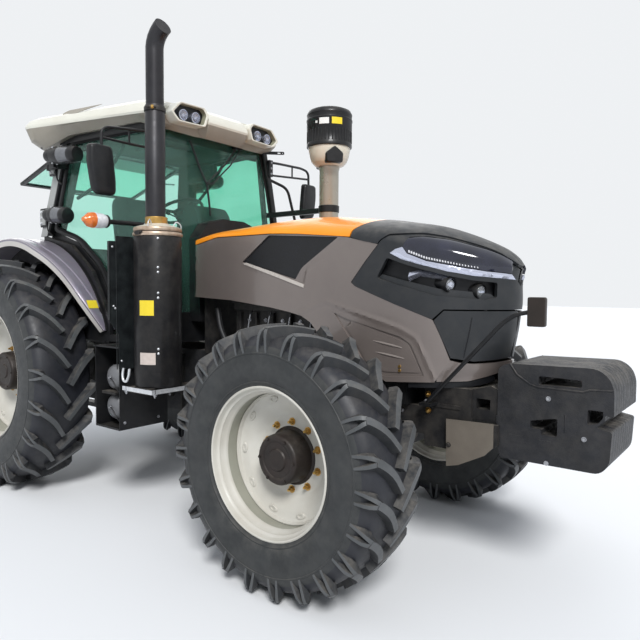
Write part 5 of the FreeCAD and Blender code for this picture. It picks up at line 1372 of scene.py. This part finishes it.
def ring(form, centre, normal, radius, thick, mark=0, sides=48, grip=0):
    """A round ring of round section, with finger grips inside when grip is set."""
    normal = Vector(normal).normalized()
    one = normal.orthogonal().normalized()
    two = normal.cross(one)
    loops = []
    for turn in around(sides):
        out = one * cos(turn) + two * sin(turn)
        size = thick * (1 + grip * cos(turn * 24))
        middle = Vector(centre) + out * radius
        loops.append([middle + out * size * cos(a) + normal * size * sin(a) for a in around(10)])
    return form.skin(loops, mark, wrap=True)


def console():
    """Dash with its hooded dials, tilted column, wheel, levers and pedals."""
    form = Form()
    shape = rounded([(1120, 1202), (1340, 1202), (1332, 2090), (1245, 2188), (1140, 2150), (1125, 2060)],
        (10, 10, 70, 60, 40, 30), 5)
    form.skin([[(1230 + (x - 1230) * grow, y, 1202 + (z - 1202) * (0.94 + 0.06 * grow)) for x, z in shape]
        for y, grow in ((-170, 0.90), (-164, 0.95), (-140, 0.99), (-90, 1), (90, 1), (140, 0.99), (164, 0.95),
        (170, 0.90))], 0)
    form.tube([(1180, 0, 1985), (1060, 0, 2050), (965, 0, 2110), (912, 0, 2148)], [62, 54, 46, 40], 24, 0)
    normal = Vector((-0.423, 0, 0.906))
    centre = Vector((900, 0, 2165))
    ring(form, centre, normal, 187, 13, 1, 72, 0.05)
    side = Vector((0, 1, 0))
    rise = normal.cross(side)
    for turn in (0, 180, 270):
        a = radians(turn)
        out = side * cos(a) + rise * sin(a)
        form.tube([centre - normal * 14 + out * 30, centre - normal * 12 + out * 100, centre + out * 180],
            [15, 12, 9], 10, 1)
    form.lathe(centre, normal, [(46, -26), (54, -14), (54, -2), (48, 8), (30, 14), (0, 15)], 32, 1)
    form.lathe(centre + rise * 150 + side * 105, normal, [(8, 8), (8, 18), (19, 26), (21, 40), (16, 52), (0, 56)], 18,
        1)
    form.plate(rounded([(-138, 2078), (138, 2078), (120, 2140), (-120, 2140)], 20), "yz", 1116, 1121, mark=2)
    for y in (-80, 80):
        form.lathe((1117, y, 2108), (-1, 0, 0), [(30, 0), (30, 4), (26, 5), (25, 1), (0, 1)], 28, 3)
    for turn in (1, -1):
        form.tube([(1060, turn * 40, 2055), (1010, turn * 130, 2100), (985, turn * 170, 2120)], 6, 8, 1)
        form.lathe((985, turn * 170, 2120), (-0.4, turn * 0.8, 0.4), [(8, -4), (12, 4), (12, 26), (7, 32), (0, 33)],
            14, 1)
    piece("dash_and_wheel", form, ["console", "black", "nose_dark", "chrome"], "steering_console",
        bevel=1.5)
    side_panel = Form()
    for k, (x, tall) in enumerate(((560, 110), (620, 130), (690, 120), (760, 140))):
        side_panel.tube([(x, -372, 1560), (x + 8, -374, 1560 + tall)], 7, 10, 0)
        side_panel.lathe((x + 8, -374, 1560 + tall), UP, [(10, -6), (19, 6), (20, 26), (14, 38), (0, 42)], 18,
            (1, 2, 0, 1)[k])
    side_panel.skin([[(x, b, c) for b, c in rounded([(-300, low), (-440, low), (-440, high - 40), (-420, high),
        (-310, high)], 22)] for x, low, high in ((330, 1200, 1520), (350, 1200, 1560), (860, 1200, 1560),
        (960, 1200, 1500), (1000, 1200, 1380))], 0)
    for y in (-150, -80, 90):
        side_panel.tube([(1120, y, 1480), (1060, y, 1330), (1020, y, 1262)], 9, 8, 0, turns=4)
        side_panel.plate(rounded([(1000, y - 30), (1050, y - 30), (1050, y + 30), (1000, y + 30)], 8), "xy", 1250,
            1262, mark=0)
    piece("side_console", side_panel, ["console", "amber", "yellow"], (), bevel=2)


POST = ((1200, 1394, 1430, 606, 664), (1500, 1380, 1418, 618, 676), (1800, 1366, 1405, 620, 678),
    (2100, 1351, 1392, 598, 656), (2400, 1333, 1378, 551, 609), (2700, 1312, 1364, 484, 542))


def post_at(z):
    rows = np.array(POST, float)
    return [float(np.interp(z, rows[:, 0], rows[:, k])) for k in range(1, 5)]


def cab_frame():
    """Bowed front posts, rear posts with their grey outer covers, roof ring, hinges and the grab rail."""
    form = Form()
    for side in (1, -1):
        loops = []
        for z in (1200, 1400, 1600, 1800, 2000, 2200, 2400, 2600, 2705):
            back, front, inner, outer = post_at(z)
            loops.append([(x, side * y, z) for x, y in rounded([(back, inner + 8), (front, inner),
                (front + 2, outer - 12), (front - 16, outer), (back, outer)], 9, 3)])
        form.skin(loops, 0)
        form.skin([[(a, side * b, z) for a, b in rounded([(x, y), (x + 64, y), (x + 64, y + 60), (x, y + 60)], 10, 3)]
            for z, x, y in ((1950, 100, 660), (2300, 176, 620), (2705, 258, 578))], 0)
        form.skin([[(a, side * b, z) for a, b in rounded([(x - 52, y - 30), (x + 54, y - 2), (x + 54, y + 5),
            (x - 40, y + 5), (x - 52, y - 4)], 4, 2)] for z, x, y in ((1945, 98, 722), (2300, 176, 682),
            (2640, 246, 648))], 1)
        for height, inner in ((2080, 690), (2480, 640)):
            form.lathe((DOOR_PIN_X, side * DOOR_PIN_Y, height), UP, [(12, -20), (12, 40)], 20, 2)
            form.box((178, 240), span(side, inner, 737), (height + 20.5, height + 40), 0)
    outline = [(236, 652), (1364, 548), (1364, -548), (236, -652)]
    opening = [(300, 580), (1296, 488), (1296, -488), (300, -580)]
    form.plate(outline, "xy", 2668, 2718, [opening], 0)
    form.tube([(1345, 545, 2470), (1420, 740, 2400), (1425, 850, 2100), (1425, 850, 1360), (1418, 650, 1250)], 12, 14,
        0, turns=5)
    for place in ((1352, 566, 2462), (1420, 664, 1250)):
        form.lathe(place, LEFT, [(22, -8), (22, 4), (14, 6)], 18, 0)
    piece("cab_posts", form, ["black", "grey", "steel"], "cab_frame", bevel=3)


def cab():
    """Glass with its seals, headliner, inner trim, wiper and the slotted bar at the roof."""
    top = 2690

    def screen(y_share, z):
        return (SCREEN_X - (z - SCREEN_LOW) * SCREEN_LEAN, y_share * (post_at(z)[2] + 4), z)

    glass = Form()
    rows = [1350, 1600, 1850, 2100, 2350, 2600, top]
    loops = []
    for z in rows:
        outer = [screen(k / 8, z) for k in range(-8, 9)]
        bowed = [(x + 8 * (1 - (k / 8) ** 2), y, c) for k, (x, y, c) in zip(range(-8, 9), outer)]
        loops.append(bowed + [(x - 6, y, c) for x, y, c in reversed(bowed)])
    glass.skin(loops, 0)
    piece("windshield_pane", glass, "glass", "windshield", angle=50)
    seal = Form()
    for sign in (1, -1):
        seal.tube([Vector(screen(sign, z)) + Vector((0, -sign * 6, 0)) for z in rows], 11, 8, 0)
    for z, size in ((1352, 14), (top - 8, 16)):
        seal.tube([Vector(screen(k / 8, z)) + Vector((8 * (1 - (k / 8) ** 2) - 3, 0, 0)) for k in range(-8, 9)], size,
            8, 0)
    piece("windshield_seal", seal, "rubber_seal", (), angle=60)
    a, b = Vector((232, 0, 2678)), Vector((-577, 0, 2451))
    corners = [a + Vector((0, -572, 0)), a + Vector((0, 572, 0)), b + Vector((0, 578, 0)), b + Vector((0, -578, 0))]
    pane = Form()
    normal = (corners[1] - corners[0]).cross(corners[2] - corners[1]).normalized()
    pane.skin([[c + normal * 3 for c in corners], [c - normal * 3 for c in corners]], 0)
    piece("rear_pane", pane, "glass", "rear_window")
    rear = Form()
    rim_of(rear, corners, 34, 12.5, 0)
    for side in (1, -1):
        rear.tube([(150, side * 540, 2530), (-60, side * 545, 2560), (-160, side * 548, 2562)], 8, 8, 1)
        rear.box((216, 256), span(side, 380, 440), (2656, 2700), 0)
    rear.tube([(-556, -60, 2450), (-577, -60, 2432), (-577, 60, 2432), (-556, 60, 2450)], 7, 8, 0, turns=3)
    piece("rear_window_frame", rear, ["black", "steel"], (), bevel=2)
    inner = Form()
    # The headliner's dark grey is partly painted shade of the cab's inside
    inner.box((305, 1295), (-486, 486), (2672, 2712), 0)
    inner.skin([[(x, y, low) for y in (-480, -300, 0, 300, 480)] + [(x, y, 2680) for y in (480, 300, 0, -300, -480)]
        for x, low in ((1120, 2670), (1200, 2622), (1290, 2596), (1308, 2610), (1302, 2668))], 2)
    inner.box((430, 780), (470, 520), (2500, 2640), 1)
    inner.lathe((700, 469, 2570), (0, -1, 0), [(34, 0), (34, 5), (28, 7), (24, 3), (0, 3)], 24, 0)
    inner.plate(rounded([(560, -180), (900, -180), (900, 180), (560, 180)], 30), "xy", 2662, 2673, mark=1)
    for y in (-240, 240):
        inner.lathe((1080, y, 2672), (0, 0, -1), [(42, 0), (40, 6), (30, 8), (28, 3), (0, 3)], 24, 1)
    for side in (1, -1):
        loops = []
        for z, x, y in ((1950, 108, 660), (2250, 172, 620), (2560, 236, 585), (2680, 262, 570)):
            reach = 215 if side > 0 else 96
            loops.append([(c, side * d, z) for c, d in rounded([(x - 4, y - 2), (x + reach, y - 20),
                (x + reach - 30, y - 86), (x - 4, y - 66)], 20, 3)])
        inner.skin(loops, 0)
        inner.box((520, 940), span(side, 470, 700), (1196, 1300), 0)
        inner.tube([(330, side * 560, 2250), (520, side * 520, 2330), (760, side * 500, 2500),
            (900, side * 492, 2640)], 14, 10, 1, turns=4)
    piece("headliner", inner, ["headliner", "console", "black"], (), bevel=4)
    wiper = Form()

    def on_glass(y, z, lift):
        return (SCREEN_X - (z - SCREEN_LOW) * SCREEN_LEAN + 8 + lift, y, z)

    blade = [on_glass(y, z, 14) for y, z in ((-268, 2620), (-190, 2440), (-123, 2317), (-108, 2200), (-100, 2085))]
    wiper.tube(blade, [9, 8, 8, 7, 6], 6, 0)
    wiper.tube([(x - 8, y, z) for x, y, z in blade], 4, 6, 1)
    for shift in (0, 52):
        wiper.tube([on_glass(200 + shift * 0.9, 2660, 24), on_glass(70 + shift, 2500, 22), on_glass(-128 + shift,
            2326, 20)], 6, 8, 0)
    wiper.tube([on_glass(-135, 2322, 18), on_glass(-66, 2332, 18)], 9, 8, 0)
    wiper.box((1322, 1366), (180, 262), (2640, 2690), 0)
    piece("wiper", wiper, ["black", "rubber_seal"], (), bevel=1)
    stub = Form()
    flat = Form()
    slot = rounded([(36, -5), (70, -5), (70, 5), (36, 5)], 5)
    dot = rounded([(84, -5), (94, -5), (94, 5), (84, 5)], 5)
    flat.plate(rounded([(-112, -13), (106, -13), (106, 13), (-112, 13)], 12), "xz", -4, 4, [slot, dot])
    start, end = Vector((1362, 505, 2668)), Vector((1412, 700, 2692))
    run = (end - start).normalized()
    across = run.cross(Vector((0, 0, 1))).normalized()
    lift = across.cross(run)
    stub.join(flat, lambda p: (start + end) / 2 + run * p.x + across * p.y + lift * p.z)
    piece("slotted_bar", stub, "black", (), bevel=1.5)


def mirrors():
    """Tube arms, rounded shells with their glass, and the blind-spot mirror on its mast."""
    form = Form()
    for side, middle, level in ((1, 1084, 2330), (-1, 1006, 2290)):
        rise = level - 2290
        form.tube([(1382, side * 560, 2594), (1386, side * 640, 2600), (1379, side * (middle - 120), 2572 + rise),
            (1375, side * (middle - 36), 2562 + rise), (1375, side * (middle - 4), 2535 + rise),
            (1375, side * middle, 2425 + rise)], 10.5, 12, 0, turns=5)
        form.tube([(1382, side * 560, 2490), (1380, side * 800, 2488 + rise * 0.5), (1375, side * (middle - 2),
            2490 + rise)], 9, 12, 0)
        strut = 560 + 0.55 * (middle - 560)
        form.tube([(1380, side * strut, 2489 + rise * 0.5), (1380, side * strut, 2580 + rise * 0.6)], 7, 10, 0)
        form.box((1370, 1398), span(side, 538, 580), (2476, 2612), 0)
        for z in (2500, 2545, 2590):
            form.bolt((1399, side * 560, z), (1, 0, 0), 7, 2)
        shell = []
        for x, grow in ((1350.5, 1.0), (1362, 1.0), (1376, 0.985), (1388, 0.95), (1396, 0.88), (1400, 0.76)):
            outline = rounded([(-84, -158), (30, -158), (62, -132), (92, 40), (88, 146), (60, 156), (-58, 156),
                (-74, 138), (-98, -60), (-98, -136)], (30, 34, 34, 80, 34, 30, 30, 30, 80, 30), 6)
            shell.append([(x, side * (middle + a * grow), level + b * (1 - (1 - grow) * 0.55)) for a, b in outline])
        form.skin(shell, 0)
        face = rounded([(-84, -146), (34, -146), (56, -120), (80, 40), (78, 136), (-66, 136), (-88, -60)],
            (26, 30, 30, 60, 26, 26, 60), 6)
        form.plate([(side * (middle + a), level + b) for a, b in face], "yz", 1349.8, 1352, mark=1)
    f = FRONT_AXLE
    form.tube([(f + 476, -330, 925), (f + 490, -330, 950), (f + 885, -330, 1378), (f + 950, -330, 1422),
        (f + 1020, -330, 1436)], 11, 14, 0, turns=6)
    form.box((f + 440, f + 510), (-345, -262), (918, 934), 0)
    form.bolt((f + 455, -290, 934), (0, 0, 1), 10, 2)
    shell = []
    for y, grow in ((-350, 0.96), (-346, 1.0), (-322, 1.0), (-314, 0.97), (-310, 0.90)):
        outline = rounded([(-42, -70), (42, -70), (42, 70), (-42, 70)], 10, 4)
        shell.append([(f + 1052 + a * grow, y, 1437 + b * grow) for a, b in outline])
    form.skin(shell, 3)
    piece("mirror_set", form, ["black", "mirror", "steel", "bronze"], "mirrors", bevel=1.5, angle=45)


def lamps():
    """Turn lamps on their arms, roof lamps, and the hinge housings of the doors with their brackets."""
    form = Form()
    for side in (1, -1):
        centre = Vector((1396, side * 1078, 1960))
        out = Vector((0, side, 0))
        form.lathe(centre, out, [(47, 0), (48, 10), (46, 26), (40, 42), (30, 56), (18, 66), (14, 76), (0, 78)], 32, 1)
        form.lathe(centre, out, [(34, -88), (42, -74), (46, -52), (48, -20), (47, 0)], 32, 2)
        form.lathe(centre, out, [(18, -100), (36, -98), (42, -90), (42, -80), (34, -74)], 32, 0)
        for k in range(6):
            form.lathe(centre + out * (3 + 7 * k), out, [(47 - 0.1 * k * k, 0), (49 - 0.3 * k * k, 2),
                (46.5 - 0.4 * k * k, 5)], 32, 1, caps=False)
            form.lathe(centre - out * (6 + 10 * k), out, [(47 - 0.3 * k, 0), (48.8 - 0.4 * k, 2), (47 - 0.4 * k, 5)],
                32, 2, caps=False)
        form.tube([(1386, side * 600, 1966), (1388, side * 880, 1963), (1394, side * 982, 1960)], 16, 14, 0)
        form.box((1374, 1408), span(side, 560, 622), (1920, 2006), 0)
        for across, level in ((316, 2752), (426, 2748)):
            spot = Vector((1462, side * across, level))
            ahead = Vector((1, 0, -0.10)).normalized()
            form.lathe(spot, ahead, [(30, -50), (38, -14), (40, 4), (38, 12), (34, 13), (33, 4)], 28, 3, caps=False)
            form.lathe(spot, ahead, [(33, 6), (25, -6), (12, -13), (0, -14)], 28, 3, caps=False)
            form.lathe(spot, ahead, [(12, -12), (14, -2), (10, 4), (0, 5)], 16, 3, caps=False)
            form.lathe(spot, ahead, [(34, 8), (27, 13), (12, 16), (0, 17)], 28, 4, caps=False)
    piece("lamp_set", form, ["black", "amber", "frosted", "chrome", "clear"], "cab_lamps")
    fixed = Form()
    for name, side in (("left", 1), ("right", -1)):
        work = Form()
        for start, end, level in (((246, 772), (505, 741), 2094), ((262, 768), (600, 712), 2548)):
            first = Vector((start[0], side * start[1], level + 8))
            ahead = (Vector((end[0], side * end[1], level - 8)) - first)
            far = ahead.length
            ahead = ahead.normalized()
            work.lathe(first, ahead, [(30, 0), (46, 4), (50, 14), (50, 60), (56, 66), (62, 74), (62, far * 0.46)], 32,
                0)
            # Painted highlight: the housing's middle band is a lighter glossy grey
            work.lathe(first, ahead, [(61, far * 0.46), (64, far * 0.47), (58, far * 0.78), (54, far * 0.79)], 32, 1)
            work.lathe(first, ahead, [(52, far * 0.78), (60, far * 0.79), (62, far * 0.83), (61, far * 0.94),
                (54, far * 0.985), (36, far), (0, far)], 32, 0)
            for turn in (70, 110, 250, 290):
                spin = Matrix.Rotation(radians(turn), 3, ahead) @ Vector((0, side, 0))
                spin = (spin - ahead * spin.dot(ahead)).normalized()
                work.tube([first + ahead * 70 + spin * 62, first + ahead * (far * 0.9) + spin * 60], 5, 6, 0)
                work.lathe(first + ahead * 84 + spin * 61, spin, [(9, 0), (9, 5), (5, 8), (0, 8)], 12, 2)
            work.box((262, 330), span(side, 690, 760), (level - 40 if level < 2300 else 2466, level + 10), 0)
        piece(f"{name}_hinge_covers", work, ["black", "grey_gloss", "zinc"], (), body=f"{name}_cab_door")
        for level, back, near in ((2094, 62, 700), (2500, 138, 660)):
            fixed.box((back, back + 96), sorted((side * near, side * (near + 30))), (level - 74, level + 74), 0)
            fixed.box((back + 10, back + 80), sorted((side * (near + 26), side * (near + 38))),
                (level - 60, level + 60), 1)
            for lift in (-44, 0, 44):
                fixed.bolt((back + 30, side * (near + 38), level + lift), (0, side, 0), 9, 2)
            fixed.tube([(back + 84, side * (near + 16), level - 40), (back + 96, side * (near + 20), level - 110),
                (back + 150, side * (near + 6), level - 150)], 7, 8, 0, turns=4)
    piece("hinge_brackets", fixed, ["black", "grey", "zinc"], (), bevel=3)


def heat_shield():
    """Folded dark sheet beside the drum: stepped top, hemmed edges, stay bolts."""
    form = Form()
    outline = [(-925, 1003), (-659, 1003), (-659, 1871), (-940, 1871), (-942, 1838), (-998, 1836), (-998, 1330),
        (-925, 1240)]
    form.plate(rounded(outline, (8, 8, 8, 4, 3, 8, 20, 30)), "yz", 1421, 1424, mark=0, step=60)
    for y in (-994, -940, -664):
        form.tube([(1425, y, 1336 if y == -994 else 1006), (1425, y, 1834 if y == -994 else 1868)], 3.2, 6, 0)
    form.box((1415, 1434), (-998, -994), (1332, 1834), 0)
    form.box((1415, 1434), (-662, -657), (1004, 1870), 0)
    for y, z in ((-968, 1800), (-962, 1420), (-950, 1405), (-690, 1800), (-690, 1420), (-690, 1060), (-905, 1060)):
        form.lathe((1424, y, z), AHEAD, [(7, 0), (7, 3), (4, 6), (0, 6.5)], 12, 1)
    for z in (1120, 1780):
        form.box((1424, 1436), (-700, -660), (z, z + 40), 2)
    piece("folded_shield", form, ["shield", "zinc", "black"], "heat_shield", bevel=1)


def side_tanks():
    """Open-sided tray on the right with its two round air tanks, straps and drain taps."""
    form = Form()
    wall = 5
    form.box((1120, 1400), (-526, -520), (592, 1148), 0)
    form.box((1120, 1120 + wall), (-908, -520), (592, 1148), 0)
    form.box((1400 - wall, 1400), (-908, -520), (592, 1148), 0)
    form.box((1120, 1400), (-908, -520), (592, 592 + wall), 0)
    form.box((1120, 1400), (-908, -520), (1148 - wall, 1148), 0)
    for z in (598, 1142):
        form.box((1128, 1392), (-909, -901), (z - 6, z + 6), 0)
    for z in (730, 930):
        form.lathe((1260, -880, z), LEFT, [(0, 0), (30, 2), (58, 9), (76, 20), (84, 36), (85, 48), (85, 330),
            (80, 344), (60, 352), (0, 356)], 44, 1)
        form.lathe((1260, -880, z), LEFT, [(85, 34), (86.5, 36), (86.5, 42), (85, 44)], 44, 1, caps=False)
        for along in (90, 270):
            form.lathe((1260, -880, z), LEFT, [(85, along), (87.5, along + 2), (87.5, along + 26), (85, along + 28)],
                44, 2, caps=False)
        form.lathe((1260, -881, z), (0, -1, 0), [(12, 0), (12, 8), (6, 10), (6, 16), (0, 16)], 12, 3)
        form.tube([(1260, -887, z), (1300, -895, z - 10), (1340, -891, z - 60), (1345, -863, z - 100)], 5, 8, 4,
            turns=5)
    form.box((1180, 1340), (-900, -540), (822, 838), 2)
    for x, z in ((1400, 640), (1400, 1060), (1400, 1100)):
        for y in (-870, -600):
            form.bolt((x, y, z), (1, 0, 0), 8, 3)
    # Bright angle round the drum's foot
    form.box((1428, 1742), (-906, -898), (868, 896), 5)
    form.box((1734, 1742), (-906, -640), (868, 896), 5)
    form.tube([(1470, -903, 896), (1470, -903, 846)], 6, 8, 3)
    form.tube([(1738, -880, 896), (1738, -880, 846)], 6, 8, 3)
    form.bolt((1470, -903, 868), (0, 0, -1), 12, 3)
    form.bolt((1738, -880, 868), (0, 0, -1), 12, 3)
    form.tube([(1430, -896, 1012), (1432, -906, 965), (1446, -908, 930), (1474, -906, 926), (1494, -902, 960),
        (1496, -896, 1012)], 9, 10, 5, turns=5)
    piece("tank_tray", form, ["black", "tank", "frame", "steel", "hose", "zinc"], "side_tanks",
        bevel=1.5)


def fuel_tank():
    """Moulded tank with ribs, straps and its filler cap."""
    form = Form()
    body = []
    for x, grow in ((1420, 0.90), (1426, 0.96), (1445, 1.0), (1935, 1.0), (1954, 0.96), (1960, 0.90)):
        outline = rounded([(450, 620), (860, 620), (950, 700), (950, 1080), (910, 1120), (450, 1120)],
            (40, 70, 80, 50, 50, 40), 5)
        body.append([(x, 700 + (y - 700) * grow, 870 + (z - 870) * grow) for y, z in outline])
    form.skin(body, 0)
    for x in (1530, 1690, 1850):
        line = rounded([(452, 618), (862, 618), (952, 698), (952, 1082), (912, 1122), (452, 1122)],
            (40, 70, 80, 50, 50, 40), 5)
        form.skin([[(x - 20, 700 + (y - 700) * 0.985, 870 + (z - 870) * 0.985), (x - 20, y, z), (x + 20, y, z),
            (x + 20, 700 + (y - 700) * 0.985, 870 + (z - 870) * 0.985)] for y, z in line], 1, wrap=True)
    form.lathe((1500, 880, 1060), (0, 0.6, 0.8), [(38, 30), (38, 62), (44, 66), (44, 88), (36, 94), (0, 95)], 28, 2)
    piece("moulded_tank", form, ["tank_plastic", "frame", "black"], "fuel_tank", bevel=3)


def steps():
    """Steps on the left: folded cheeks, treads punched for grip, hand loop."""
    form = Form()
    cheek = rounded([(640, 1150), (640, 640), (760, 405), (990, 405), (990, 470), (850, 1150)],
        (10, 60, 80, 20, 40, 10), 4)
    for low in (1030, 1388):
        form.plate(cheek, "yz", low, low + 12, mark=0)
    for z, near in ((406, 770), (650, 700), (900, 650)):
        holes = []
        for i in range(6):
            for j in range(3):
                holes.append([polar(1075 + 55 * i, near + 60 + 70 * j, 13, a) for a in around(10)])
        far = {406: 990, 650: 948, 900: 897}[z]
        holes = [hole for hole in holes if max(p[1] for p in hole) < far - 20]
        form.plate([(1042, near), (1388, near), (1388, far), (1042, far)], "xy", z, z + 5, holes, mark=1)
        form.box((1042, 1388), (far - 5, far), (z - 22, z + 5), 1)
        for hole in holes[::2]:
            cx = sum(p[0] for p in hole) / 10
            cy = sum(p[1] for p in hole) / 10
            form.lathe((cx, cy, z + 4), UP, [(17, 0), (14, 4), (12, 4), (12, 0)], 10, 1, caps=False)
    piece("cab_ladder", form, ["black", "frame"], "cab_steps", bevel=1.5)


def underside():
    """Ribs, lines, filters, bolts and ties on the kept castings."""
    form = Form()
    for side in (1, -1):
        y = side * ENGINE_SIDE
        for k in range(7):
            x = 1900 + 150 * k
            form.box((x, x + 16), sorted((y, y + side * 26)), (960, 1380), 0)
            form.bolt((x + 75, y, 1330), (0, side, 0), 11, 1)
            form.bolt((x + 75, y, 1010), (0, side, 0), 11, 1)
        form.box((1870, 3030), sorted((y, y + side * 40)), (1395, 1440), 0)
        form.tube([(1880, y + side * 60, 1470), (2300, y + side * 70, 1480), (2700, y + side * 66, 1465),
            (3000, y + side * 40, 1440)], 26, 16, 0, turns=4)
        for k in range(6):
            x = 1960 + 175 * k
            form.tube([(x, y + side * 62, 1478), (x, y + side * 40, 1530), (x, side * 240, 1556)], 16, 10, 0, turns=4)
            form.tube([(x + 60, y + side * 10, 1400), (x + 70, y + side * 52, 1360), (x + 40, y + side * 46, 1230),
                (x - 20, y + side * 10, 1180)], 5, 8, 1, turns=4)
        for x in (2250, 2390):
            form.lathe((x, side * 350, 1050), UP, [(46, 0), (52, 8), (52, 190), (48, 200), (30, 206), (30, 226),
                (0, 226)], 28, 2)
            form.box((x - 50, x + 50), sorted((y, side * 356)), (1256, 1290), 0)
        form.lathe((2000, side * 300, 1180), AHEAD, [(40, -60), (74, -56), (78, -40), (78, 60), (74, 72), (30, 76),
            (30, 100), (60, 102), (60, 108), (48, 114), (60, 120), (60, 126), (0, 128)], 32, 3)
        form.tube([(1880, side * 300, 1110), (1800, side * 318, 1150), (1740, side * 330, 1260),
            (1700, side * 318, 1400)], 19, 12, 4, turns=5)
        form.tube([(1720, side * 300, 1010), (1780, side * 340, 1060), (1900, side * 352, 1080),
            (2160, side * 330, 1040)], 14, 12, 4, turns=5)
        # Rails and transmission
        for x in range(1880, 3200, 165):
            form.bolt((x, side * RAIL_SIDE, 860), (0, side, 0), 10, 1)
            form.bolt((x + 60, side * RAIL_SIDE, 790), (0, side, 0), 10, 1)
        for x in (320, 640, 900, 1200, 1500, 1780):
            form.box((x, x + 22), span(side, 220, 246), (600, 1040), 0)
        for x in (1810, 1840):
            for z in (620, 740, 860, 980, 1050):
                form.bolt((x, side * 221, z), (0, side, 0), 11, 1)
        form.box((880, 1100), span(side, 220, 252), (700, 900), 0)
        for x, z in ((896, 716), (1084, 716), (896, 884), (1084, 884)):
            form.bolt((x, side * 252, z), (0, side, 0), 9, 1)
        for a in around(10, 0.5):
            form.bolt((140 * cos(a), side * 619, REAR_RADIUS + 140 * sin(a)), (0, -side, 0), 11, 1)
        form.lathe((0, side * 262, 876), (0, side, 0), [(190, 0), (190, 16), (170, 40), (140, 60), (124, 120)], 40, 0,
            caps=False)
        for a in around(12):
            form.bolt((178 * cos(a), side * 276, REAR_RADIUS + 178 * sin(a)), (0, side, 0), 10, 1)
    for x, z in ((-250, 820), (-120, 700), (120, 700), (200, 880)):
        form.box((x - 14, x + 14), (-258, 258), (z - 6, z + 6), 0)
    for k in range(4):
        for side in (1, -1):
            x, y, z = -322, side * (70 + 60 * k), 1060
            form.lathe((x, y, z), (-1, 0, 0), [(20, 0), (20, 26), (26, 28), (26, 44), (18, 46), (18, 52), (0, 52)],
                18, (4, 1)[k % 2])
    form.lathe((-322, 0, 720), (-1, 0, 0), [(90, 0), (90, 14), (70, 22), (40, 24), (30, 34), (24, 36)], 36, 0,
        caps=False)
    for a in around(18):
        y, z = polar(0, 720, 22, a)
        form.box((-438, -380), (y - 1.6, y + 1.6), (z - 1.6, z + 1.6), 1)
    piece("casting_details", form, ["engine", "steel", "cream", "zinc", "hose"], (), bevel=1.5)


camera()
studio()
finishes()
wheels()
hood()
nose()
headlamps()
weights()
front_frame()
exhaust()
cleaner()
roof()
doors()
fenders()
seat()
console()
cab()
mirrors()
lamps()
cab_frame()
heat_shield()
side_tanks()
fuel_tank()
steps()
underside()

for node, finish, rounding in (
    ("chassis_frame", "frame", 3), ("front_axle", "iron", 3),
    ("left_knuckle", "iron", 3), ("right_knuckle", "iron", 3),
    ("engine_block", "engine", 8), ("radiator", "black", 3), ("transmission_case", "cast", 8),
    ("rear_axle_housing", "cast", 6), ("lower_links", "frame", 4),
    ("lift_arms", "frame", 4), ("lift_rods", "frame", 2),
    ("drawbar", "frame", 3), ("hood_support", "frame", 3), ("cab_base", "black", 4),
):
    if node in NODES:
        dress(node, finish, rounding)
